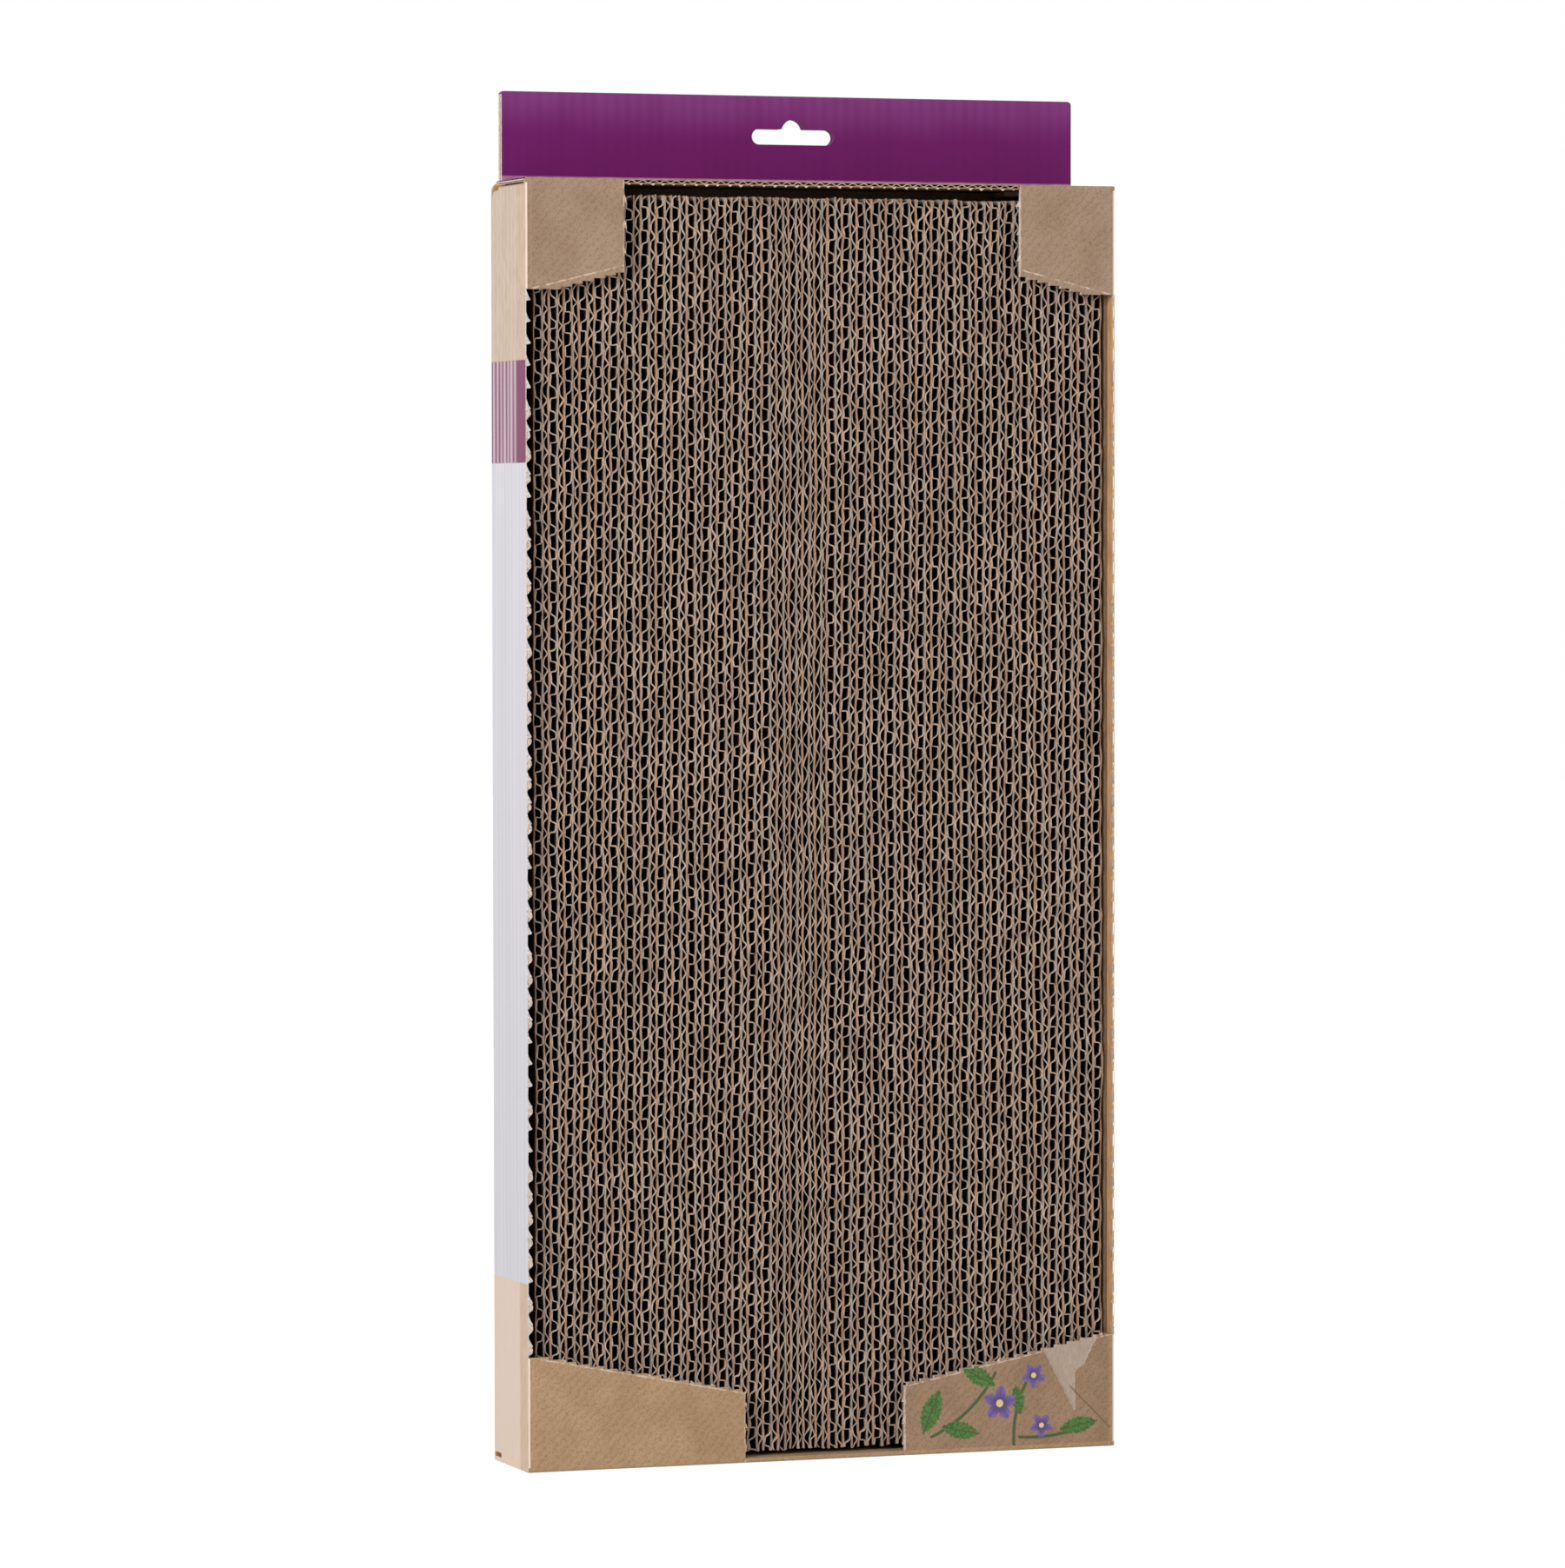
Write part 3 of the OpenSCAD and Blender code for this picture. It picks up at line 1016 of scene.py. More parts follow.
@dataclass
class Pad:
    """Upright strips of double-wall board, glued side by side with their flute ends forward."""

    liner_t: float = 0.3 * MM
    middle_t: float = 0.55 * MM
    medium_t: float = 0.38 * MM
    crushed_paper: float = 0.75
    large_share: float = 0.585
    front_zone: float = 1.3 * MM
    liner_step: float = 3.4 * MM
    trim: float = 0.9 * MM
    large: tuple[FluteSheet, ...] = (
        FluteSheet(7.95 * MM, (
            (0.0, 0.06), (0.01, 0.4), (0.025, 0.8), (0.07, 0.98), (0.24, 1.0), (0.4, 0.97),
            (0.49, 0.8), (0.55, 0.45), (0.6, 0.1), (0.68, 0.0), (0.86, 0.0), (0.97, 0.0))),
        FluteSheet(7.95 * MM, (
            (0.0, 0.08), (0.05, 0.42), (0.1, 0.8), (0.17, 0.98), (0.28, 1.0), (0.4, 0.98),
            (0.46, 0.8), (0.48, 0.4), (0.5, 0.06), (0.6, 0.0), (0.78, 0.0), (0.93, 0.0))))
    small: FluteSheet = FluteSheet(6.3 * MM, (
        (0.0, 0.0), (0.13, 0.02), (0.24, 0.22), (0.42, 0.86), (0.5, 1.0), (0.58, 0.86),
        (0.76, 0.22), (0.87, 0.02)))
    crushed: FluteSheet = FluteSheet(7.95 * MM, (
        (0.0, 0.05), (0.12, 0.5), (0.24, 0.92), (0.36, 1.0), (0.52, 0.72), (0.66, 0.36),
        (0.8, 0.06), (0.9, 0.0)))

    def papers(self, low: Vector, high: Vector) -> tuple[bpy.types.Material, ...]:
        """The materials of the outer liners, of the middle liner and of the fluting."""
        ends = (low.y / MM, (high.z - self.trim) / MM)
        return tuple(PadPaper(*colours, *ends).material() for colours in (
            # Each row: name, cut edge, darker cut edge, the face with painted shade, and the near-black
            # painted shade deeper in the holes.
            ("testliner_red_brown", "#b0947f", "#8b6e5a", "#38261f", "#100a07"),
            ("testliner_grey_brown", "#ac9c8e", "#86776c", "#312722", "#0e0908"),
            ("fluting_pale_brown", "#c8ae98", "#937c6b", "#33261f", "#0c0806"),
        ))

    def liner(self, name: str, thick: float, low: Vector, high: Vector) -> bpy.types.Object:
        """Models one upright liner with its left face at X 0.

        Args:
            name: the object's name.
            thick: its thickness.
            low: the pad's lowest corner.
            high: the pad's highest corner.

        Returns:
            The liner, with its thickness.
        """
        top = high.z - self.trim + 0.2 * MM
        length, depth = top - low.z, high.y - low.y
        bpy.ops.object.select_all(action="DESELECT")
        bpy.ops.mesh.primitive_grid_add(
            x_subdivisions=round(length / self.liner_step), y_subdivisions=1, size=1,
            location=(0, (low.y + high.y) / 2, (low.z + top) / 2), rotation=(0, math.pi / 2, 0))
        piece = named(name)
        piece.scale = (length, depth, 1)
        settled(piece)
        cut(piece, Vector((0, low.y + self.front_zone, 0)), Vector((0, 1, 0)))
        return finished(piece, "SOLIDIFY", thickness=thick, offset=1.0)

    def fluting(self, pattern: bpy.types.Object, name: str, paper: float, x: float, drop: float,
                low: Vector, high: Vector) -> bpy.types.Object:
        """Copies a fluted layer into a strip, cut to the pad's height.

        Args:
            pattern: the layer that is copied.
            name: the copy's name.
            paper: the thickness of the paper.
            x: where its left face goes.
            drop: how far it is shifted down.
            low: the pad's lowest corner.
            high: the pad's highest corner.

        Returns:
            The layer, with its thickness.
        """
        piece = settled(copied(pattern, name, Matrix.Translation((x, 0, -drop))))
        cut(piece, Vector((0, 0, high.z - self.trim)), Vector((0, 0, 1)), clear_outer=True)
        cut(piece, Vector((0, 0, low.z + 0.1 * MM)), Vector((0, 0, 1)), clear_inner=True)
        return finished(piece, "SOLIDIFY", thickness=paper, offset=0.0)

    def roughen(self, piece: bpy.types.Object, front: float, fields: dict) -> None:
        """Lets the layers wander together, and crushes and frays them at the cut face.

        Args:
            piece: the strip.
            front: the Y of the pad's front.
            fields: the noise textures by name.
        """
        group = piece.vertex_groups.new(name="front")
        group.add([v.index for v in piece.data.vertices if v.co.y < front + 0.5 * MM], 1.0, "REPLACE")
        for key, axis, strength, where in (
            ("sway", "X", 1.6, ""), ("dent", "X", 0.6, ""), ("sag", "Z", 2.2, ""),
            ("crush", "X", 1.0, "front"), ("lift", "Z", 1.3, "front"), ("fray", "Y", 1.5, "front"),
        ):
            finished(piece, "DISPLACE", texture=fields[key], texture_coords="GLOBAL", direction=axis,
                     strength=strength * MM, mid_level=0.5, vertex_group=where)

    def strip(self, stock: PadStock, name: str, ends: tuple[float, float], full: float,
              dice: random.Random) -> bpy.types.Object:
        """Builds one strip from its liners and its fluted layers.

        Args:
            stock: what its layers are copied from.
            name: the strip's name.
            ends: the X of its left and of its right face.
            full: the width of a strip that wasn't crushed.
            dice: the random draws.

        Returns:
            The strip.
        """
        start, end = ends
        width = end - start
        single = width < 0.7 * full
        crushed = not single and width < 0.9 * full
        rooms = (full if single else width) - 2 * self.liner_t - self.middle_t
        paper = self.medium_t * (self.crushed_paper if crushed else 1.0)
        large_room = rooms * self.large_share
        kind = "crushed" if crushed else dice.choice(("square", "slanted"))
        wave = {"square": self.large[0], "slanted": self.large[1], "crushed": self.crushed}[kind]
        inner = start + self.liner_t + large_room
        webs = [(kind, wave, start + self.liner_t, large_room)]
        liners = [(stock.outer, start, 0), (stock.outer, end - self.liner_t, 0)]
        if not single:
            liners.insert(1, (stock.middle, inner, 1))
            webs.append(("small" + "_crushed" * crushed, self.small, inner + self.middle_t,
                         rooms - large_room))
        layers = []
        for pattern, x, tone in liners:
            layer = settled(copied(pattern, f"{name}_liner", Matrix.Translation((x, 0, 0))))
            layers.append(dressed(layer, stock.papers[tone]))
        for kind, wave, x, room in webs:
            if kind not in stock.flutes:
                depths = (stock.low.y, stock.low.y + self.front_zone, stock.high.y)
                stock.flutes[kind] = wave.pattern(
                    f"{kind}_flutes", room, paper, depths, stock.high.z + wave.pitch,
                    stock.high.z - stock.low.z + 3 * wave.pitch)
            layer = self.fluting(stock.flutes[kind], f"{name}_{kind}", paper, x,
                                 dice.random() * wave.pitch, stock.low, stock.high)
            layers.append(dressed(layer, stock.papers[2]))
        return joined(f"{name}_board", layers)

    def build(self, nodes: Sequence[str]) -> None:
        """Builds one piece for each strip of the frame.

        Args:
            nodes: the names of the strips' solids, from left to right.
        """
        boxes = [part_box(n) for n in nodes]
        low, high = boxes[0]
        papers = self.papers(low, high)
        fields = {
            "sway": noise_field("sway", 0.055, 2), "dent": noise_field("dent", 0.011),
            "sag": noise_field("sag", 0.017, 1), "crush": noise_field("crush", 0.0042),
            "lift": noise_field("lift", 0.0037), "fray": noise_field("fray", 0.0026, 2),
        }
        stock = PadStock(low, high, papers, self.liner("outer_liner_pattern", self.liner_t, low, high),
                         self.liner("middle_liner_pattern", self.middle_t, low, high))
        dice = random.Random(11)
        for i, (node, (start, end)) in enumerate(zip(nodes, boxes)):
            piece = self.strip(stock, f"strip_{i + 1:02d}", (start.x, end.x), high.x - low.x, dice)
            self.roughen(piece, low.y, fields)
            mounted(smoothed(piece), "pad", "pad_board", node)
        removed(stock.outer, stock.middle, *stock.flutes.values())


@dataclass(frozen=True)
class Boards:
    """The board finishes that the carton's sub-assemblies share."""

    printed: bpy.types.Material
    header: bpy.types.Material
    kraft: bpy.types.Material
    kraft_top: bpy.types.Material
    sprig: bpy.types.Material
    raw: bpy.types.Material
    shaded_board: bpy.types.Material
    edge: bpy.types.Material
    frayed: bpy.types.Material
    grey: bpy.types.Material
    claw: bpy.types.Material

    @classmethod
    def mixed(cls) -> Boards:
        """Makes all of them, with the printed bands at the heights of the real print."""
        low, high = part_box("header_front_layer")
        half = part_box("back_panel")[1]
        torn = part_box("left_torn_edge")
        top_rim = TornRim.of("top_left_tab", Tab.TOP_SLOPE)
        low_rim = TornRim.of("bottom_left_tab", Tab.LOW_SLOPE)
        kraft = KraftBoard("kraft_liner_board", "#b09373", "#a18363", "#785a3f", rim=low_rim)
        sprig = SprigPrint(
            "sprig_print_on_kraft",
            # The print's kraft ground is a darker copy of the bottom left tab's kraft: painted shade.
            KraftBoard("kraft_ground", "#a0836a", "#8f745b", "#6b5039", rim=low_rim),
            "#7a649c", "#544678", "#d9c27a", "#56793f", "#3a5a2e", "#4a5a3a",
            flowers=(Flower(66, 17, 6.4, 12), Flower(79, 26.5, 4.6, 50), Flower(82, 8.5, 4.4, -20)),
            leaves=(Leaf(40, 15, 17, 7.4, 68), Leaf(51, 8, 15, 6.4, -12), Leaf(58, 27, 15, 6.4, 150),
                    Leaf(73, 18, 11, 5.0, 100), Leaf(96, 8, 15, 6.0, 10)),
            stems=(Stem(54, 15, 34, 0.010, 42), Stem(72, 12, 26, -0.012, 80), Stem(88, 5, 30, 0.008, 8)),
            # crease is the colour of the painted shade along the diagonal crease.
            bare="#978474", rim="#b5a493", crease="#6a513b")
        printed = PrintedBoard(
            "offset_print_gloss_varnish", kraft="#b9a28a", kraft_dark="#a2886d", kraft_low="#cdb9a8",
            # violet_glare, like the white streaked into the kraft, is painted reflection of the varnish.
            white="#c3c0c6", white_dull="#b1aeb6", violet="#6b1c4a", violet_glare="#c3b0b8",
            # fold is the colour of the painted highlight along the front fold, with pale cracked fibres
            # in it.
            inner="#c39a70", inner_dark="#a57d58", fold="#ead9cb", half_w=half.x / MM, half_d=half.y / MM,
            white_z=(65.7, 351.4), violet_top=387.0, fold_z=(torn[0].z / MM, torn[1].z / MM))
        return cls(
            printed.material(),
            # Its pale violet is the painted highlight over the rolled top, and its pinkish one the
            # painted highlight along the foot.
            HeaderPrint("violet_print_gloss_varnish", "#5a1150", "#66165d", "#773472", "#c995b4",
                        low.z / MM, high.z / MM).material(),
            kraft.material(),
            # The top's kraft is a darker copy of the kraft: painted shade.
            KraftBoard("kraft_liner_board_top", "#a18872", "#937963", "#6e553f", rim=top_rim).material(),
            sprig.material(),
            KraftBoard("unprinted_board_inside", "#b99670", "#a17d58", "#876545").material(),
            # A grey-brown inner liner, darkened as painted shade for the gap under the lid, the tuck flap
            # and the right wall's step.
            KraftBoard("grey_brown_inner_liner", "#7e6650", "#6e5844", "#584535").material(),
            CutBoard("torn_board_edge", "#d6c7b8", "#ab9888").material(),
            CutBoard("torn_inner_plies", "#c49a6e", "#a67c54").material(),
            CutBoard("grey_torn_ply", "#a8a097", "#8d8379").material(),
            CutBoard("pale_torn_print_ply", "#dad3ce", "#b3a59c").material())


@dataclass
class Walls:
    """The carton's upright walls and its base, on the outside printed and inside bare."""

    boards: Boards
    fold_r: float = 0.7 * MM
    notch: float = 3.5 * MM
    crushed: tuple[float, float] = (5.0 * MM, 5.6 * MM)
    skin: tuple[float, float] = (0.25 * MM, 0.5 * MM)
    skin_front: tuple[float, float] = (0.25 * MM, 1.2 * MM)
    foot: float = 1.95 * MM
    soft: float = 12.0
    hidden: tuple[str, ...] = ("seam_flap", "bottom_tuck_flap", "bottom_left_dust_flap",
                               "bottom_right_dust_flap")

    def wall(self, side: Side) -> None:
        """Builds a side wall with rounded folds, stepped back along the torn-out window.

        Only a thin skin of the wall comes forward behind its torn teeth. The folds there were
        crushed flat when the front was torn out.

        Args:
            side: which wall.
        """
        name = side.name.lower()
        low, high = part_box(f"{name}_side_panel")
        torn_low, torn_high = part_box(f"{name}_torn_edge")
        outer = side.value * max(abs(low.x), abs(high.x))
        crushed, skin, front = (pair[side is Side.RIGHT]
                                for pair in (self.crushed, self.skin, self.skin_front))
        main = block(f"{name}_wall", Vector((low.x, low.y + crushed, low.z)), high)
        edit(main)
        pick(Part.EDGE, lambda p: abs(p.y - high.y) < 1e-6 and abs(p.z - high.z) < 1e-6)
        bpy.ops.mesh.bevel(offset=self.notch, segments=4, affect="EDGES")
        leave()
        dressed(main, self.boards.printed, self.boards.shaded_board)
        # On the right, the step face behind the skin gets the board darkened as painted shade.
        if side is Side.RIGHT:
            edit(main)
            faced(lambda p: abs(p.y - low.y - crushed) < 1e-6)
            leave()
        pieces = [main]
        base_top, lid_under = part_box("bottom_lid")[1].z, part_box("top_lid")[0].z
        # The upper corners take the darker kraft copy of painted shade.
        for z0, z1, end, face in ((low.z, torn_low.z, base_top, self.boards.kraft),
                                  (torn_high.z, high.z, lid_under, self.boards.kraft_top)):
            corner = block("corner", Vector((low.x, low.y, z0)), Vector((high.x, low.y + crushed, z1)))
            inner = z0 if abs(end - z0) < abs(end - z1) else z1
            foot = block("corner_foot", Vector((low.x, low.y, min(end, inner))),
                         Vector((high.x, low.y + self.foot, max(end, inner))))
            for part in (corner, foot):
                dressed(part, self.boards.printed, face)
                edit(part)
                faced(lambda p: abs(p.y - low.y) < 1e-6)
                pick(Part.EDGE, lambda p: abs(p.x - outer) < 1e-6 and abs(p.y - low.y) < 1e-6)
                bpy.ops.mesh.bevel(offset=self.fold_r, segments=5, affect="EDGES", material=0)
                leave()
                pieces.append(part)
        ends = sorted((outer, outer - side.value * skin))
        flap = block("skin", Vector((ends[0], low.y + front, torn_low.z)),
                     Vector((ends[1], low.y + crushed, torn_high.z)))
        pieces.append(dressed(flap, self.boards.printed))
        piece = joined(f"{name}_wall", pieces)
        mounted(smoothed(piece, self.soft), "carton", "printed_side_board", f"{name}_side_panel")

    def back(self) -> None:
        """Builds the back panel with rounded upright folds and upper corners."""
        low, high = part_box("back_panel")
        piece = block("back_board", low, high)
        edit(piece)
        pick(Part.EDGE, lambda p: abs(p.z - high.z) < 1e-6 and abs(abs(p.x) - high.x) < 1e-6)
        bpy.ops.mesh.bevel(offset=self.notch, segments=4, affect="EDGES")
        pick(Part.EDGE, lambda p: abs(p.y - high.y) < 1e-6 and abs(abs(p.x) - high.x) < 1e-6)
        bpy.ops.mesh.bevel(offset=self.fold_r, segments=5, affect="EDGES")
        leave()
        mounted(smoothed(dressed(piece, self.boards.printed), self.soft), "carton", "kraft_board",
                "back_panel")

    def base(self) -> None:
        """Builds the bottom lid with a rounded front fold and printed ends."""
        low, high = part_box("bottom_lid")
        piece = dressed(block("base_board", low, high), self.boards.kraft, self.boards.printed)
        edit(piece)
        faced(lambda p: abs(abs(p.x) - high.x) < 1e-6)
        pick(Part.EDGE, lambda p: abs(p.y - low.y) < 1e-6 and abs(p.z - low.z) < 1e-6)
        bpy.ops.mesh.bevel(offset=self.fold_r, segments=5, affect="EDGES", material=0)
        leave()
        mounted(smoothed(piece, self.soft), "carton", "kraft_board", "bottom_lid")

    def build(self, frame: dict) -> None:
        """Builds the walls, and dresses the solids that nothing else stands for.
        """
        for side in Side:
            self.wall(side)
        self.back()
        self.base()
        for node in self.hidden:
            flap = "dust" in node
            dressed(frame["nodes"][node], self.boards.printed if flap else self.boards.raw)


@dataclass
class Tab:
    """A corner of the torn-out front: a flat tab with a slanted edge and frayed borders."""

    TOP_SLOPE: ClassVar[tuple[float, float]] = (0.4115, 0.42)
    LOW_SLOPE: ClassVar[tuple[float, float]] = (0.04, 0.0245)

    boards: Boards
    node: str
    side: Side
    slope: tuple[float, float]
    face: bpy.types.Material
    cell: float = 1.0 * MM
    fray: float = 0.4 * MM
    pitch: float = 7.5 * MM

    def hook(self) -> bpy.types.Object:
        """Models one torn hook of the liner that curls down into the window from the origin."""
        rows = [[mm(-self.side.value * out, 0.1 * k + 0.12 * out, middle + half * (1 - k))
                 for k in (0, 1, 2)]
                for out, half, middle in ((-0.5, 1.5, 0.0), (0.2, 1.2, -0.1), (0.7, 0.65, -0.6),
                                          (1.0, 0.06, -1.4))]
        piece = sheet("torn_hook", rows)
        return dressed(finished(piece, "SOLIDIFY", thickness=0.35 * MM, offset=0.0), self.boards.edge)

    def hooks(self, start: Vector, end: Vector, share: float) -> list[bpy.types.Object]:
        """Sets torn hooks along a free edge, one for each perforation that tore ragged.

        Args:
            start: the edge's start.
            end: its end.
            share: the share of the perforations that tore ragged.

        Returns:
            The hooks.
        """
        dice = random.Random(self.node)
        pattern = self.hook()
        found = []
        count = math.floor((end - start).length / self.pitch)
        for i in range(count):
            place = start.lerp(end, (i + 0.5 + dice.uniform(-0.08, 0.08)) / count)
            size = dice.uniform(0.7, 1.15)
            if dice.random() < share:
                spot = Matrix.Translation(place) @ Matrix.Rotation(dice.uniform(-0.3, 0.3), 4, "Y")
                found.append(settled(copied(pattern, "torn_hook", spot @ Matrix.Scale(size, 4))))
        removed(pattern)
        return found

    def build(self, fields: dict) -> None:
        """Builds the tab from a fine grid, cut along its slant and frayed on its free edges.

        Args:
            fields: the noise textures by name.
        """
        low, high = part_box(self.node)
        fold = self.side.value * max(abs(low.x), abs(high.x))
        free = self.side.value * min(abs(low.x), abs(high.x))
        at_fold, at_free = self.slope
        width, height = high.x - low.x, high.z - low.z
        bpy.ops.object.select_all(action="DESELECT")
        bpy.ops.mesh.primitive_grid_add(
            x_subdivisions=round(width / self.cell), y_subdivisions=round(height / self.cell), size=1,
            location=((low.x + high.x) / 2, low.y, (low.z + high.z) / 2), rotation=(math.pi / 2, 0, 0))
        piece = named(f"{self.node}_board")
        piece.scale = (width, height, 1)
        settled(piece)
        upwards = at_fold < (low.z + high.z) / 2
        normal = Vector((at_free - at_fold, 0, fold - free))
        if (normal.z > 0) == upwards:
            normal.negate()
        cut(piece, Vector((fold, 0, at_fold)), normal, clear_outer=True)
        group = piece.vertex_groups.new(name="free")
        slant = normal.normalized()
        start = Vector((fold, low.y, at_fold))
        near = [v.index for v in piece.data.vertices
                if abs(v.co.x - free) < 0.2 * MM or (v.co - start).dot(slant) > -0.2 * MM]
        group.add(near, 1.0, "REPLACE")
        for key, axis in (("rip", "X"), ("rend", "Z")):
            finished(piece, "DISPLACE", texture=fields[key], texture_coords="GLOBAL", direction=axis,
                     strength=self.fray, mid_level=0.5, vertex_group="free")
        dressed(piece, self.face, self.boards.edge)
        finished(piece, "SOLIDIFY", thickness=high.y - low.y, offset=-1.0, material_offset_rim=1)
        far = high.z if upwards else low.z
        edge = low.y + 0.3 * MM
        bits = self.hooks(Vector((free, edge, far)), Vector((free, edge, at_free)), 0.9)
        bits += self.hooks(Vector((free, edge, at_free)), Vector((fold, edge, at_fold)), 0.45)
        board = smoothed(joined(f"{self.node}_board", [piece, *bits]))
        mounted(board, "carton", "kraft_board", self.node)


@dataclass
class TornEdge:
    """What is left of the front along a side fold: one torn tooth for each perforation.

    A point of the course is a share of the pitch, counted upwards, and a share of the reach.
    """

    boards: Boards
    side: Side
    pitch: float = 7.5 * MM
    root: float = 0.15 * MM
    ply: float = 0.3 * MM
    behind: float = 0.25 * MM
    reach: tuple[float, float] = (0.95, 0.6)
    bit_share: tuple[float, float] = (0.76, 0.5)
    bit_depth: tuple[float, float] = (0.55 * MM, 0.16 * MM)
    bit_inset: float = 0.12 * MM
    bare_z: float = 372 * MM
    course: tuple[tuple[float, float], ...] = (
        (0.0, 0.0), (0.46, 0.02), (0.5, 0.85), (0.54, 1.0), (0.6, 0.82), (0.68, 0.58), (0.78, 0.32),
        (0.9, 0.1), (1.0, 0.0))

    def tooth(self, fold: float, tip: float, low: Vector, step: float) -> bpy.types.Object:
        """Models one tooth of the outer ply.

        Args:
            fold: the X of the fold.
            tip: the X that the tip reaches.
            low: the lowest corner of the whole row.
            step: the height of one tooth.

        Returns:
            The tooth, as a surface with no thickness.
        """
        start = fold - self.side.value * self.root
        rows = []
        for up, out in self.course:
            end = start + out * (tip - start)
            rows.append([Vector((fold + (end - fold) * k / 3, low.y + self.behind + 0.1 * MM * k * out,
                                 low.z + up * step)) for k in range(4)])
        return sheet("tooth", rows)

    def fin(self) -> bpy.types.Object:
        """Models a torn bit of the inner plies on the left: a fin under a claw, at the origin."""
        piece = block("fin", mm(0, -0.5, -1.85), mm(1.75, 0.5, 1.85))
        edit(piece)
        bpy.ops.mesh.select_all(action="SELECT")
        bpy.ops.mesh.subdivide(number_cuts=3)
        for height, share in ((1.85, 0.75), (-0.925, 0.9), (-1.85, 0.55)):
            pick(Part.VERT, lambda p: abs(p.z - height * MM) < 0.1 * MM)
            bpy.ops.transform.resize(value=(share, 0.7, 1.0), center_override=mm(0, 0, height))
        pick(Part.VERT, lambda p: p.z < -0.9 * MM and p.x > 0.3 * MM)
        bpy.ops.transform.translate(value=(0, 0, 0.35 * MM))
        pick(Part.VERT, lambda p: p.z < -1.4 * MM and p.x > 0.6 * MM)
        bpy.ops.transform.translate(value=(0, 0, 0.4 * MM))
        bpy.ops.mesh.select_all(action="SELECT")
        bpy.ops.transform.vertex_random(offset=0.1 * MM, seed=4)
        leave()
        return dressed(piece, self.boards.edge)

    def lens(self) -> bpy.types.Object:
        """Models a grey lens of torn paper on the right, where a perforation was cut, at the origin."""
        rows = [[mm(x, 0.12 * abs(up), up) for x in (-half - 0.4, -0.4, half - 0.4)]
                for up, half in ((-2.4, 0.05), (-1.6, 0.34), (0, 0.48), (1.6, 0.34), (2.4, 0.05))]
        piece = finished(sheet("lens", rows), "SOLIDIFY", thickness=0.3 * MM, offset=0.0)
        return dressed(piece, self.boards.grey)

    def build(self, fields: dict) -> None:
        """Builds the row of claws of the outer ply, and the torn bits that some of them kept.

        Args:
            fields: the noise textures by name.
        """
        node = f"{self.side.name.lower()}_torn_edge"
        low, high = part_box(node)
        left = self.side is Side.LEFT
        fold = self.side.value * max(abs(low.x), abs(high.x))
        tip = self.side.value * min(abs(low.x), abs(high.x))
        reach, bit_share, depth = (pair[self.side is Side.RIGHT]
                                   for pair in (self.reach, self.bit_share, self.bit_depth))
        count = math.floor((high.z - low.z) / self.pitch)
        step = (high.z - low.z) / count
        row = self.tooth(fold, fold + (tip - fold) * reach, low, step)
        finished(row, "ARRAY", count=count, use_relative_offset=False, use_constant_offset=True,
                 constant_offset_displace=(0, 0, step), use_merge_vertices=True, merge_threshold=1e-6)
        finished(row, "SOLIDIFY", thickness=self.ply, offset=float(-self.side.value))
        dressed(row, self.boards.claw if left else self.boards.frayed)
        pattern = self.fin() if left else self.lens()
        dice = random.Random(3 + self.side.value)
        bits = []
        for i in range(count):
            height = low.z + (i + dice.uniform(0.25, 0.3)) * step
            turn, size = dice.uniform(-0.12, 0.12), dice.uniform(0.88, 1.05)
            if dice.random() < bit_share and height < self.bare_z:
                place = Vector((fold - self.side.value * self.bit_inset, low.y + depth, height))
                shape = Matrix.Rotation(turn, 4, "Y") @ Matrix.Scale(size, 4)
                bits.append(settled(copied(pattern, "torn_bit", Matrix.Translation(place) @ shape)))
        removed(pattern)
        piece = joined(f"{self.side.name.lower()}_teeth", [row, *bits])
        group = piece.vertex_groups.new(name="teeth")
        loose = [v.index for v in piece.data.vertices if abs(v.co.x - fold) > 0.3 * MM]
        group.add(loose, 1.0, "REPLACE")
        for key, axis, strength in (("rip", "X", 0.35), ("rend", "Z", 0.8)):
            finished(piece, "DISPLACE", texture=fields[key], texture_coords="GLOBAL", direction=axis,
                     strength=strength * MM, mid_level=0.5, vertex_group="teeth")
        mounted(smoothed(piece), "carton", "printed_side_board", node)


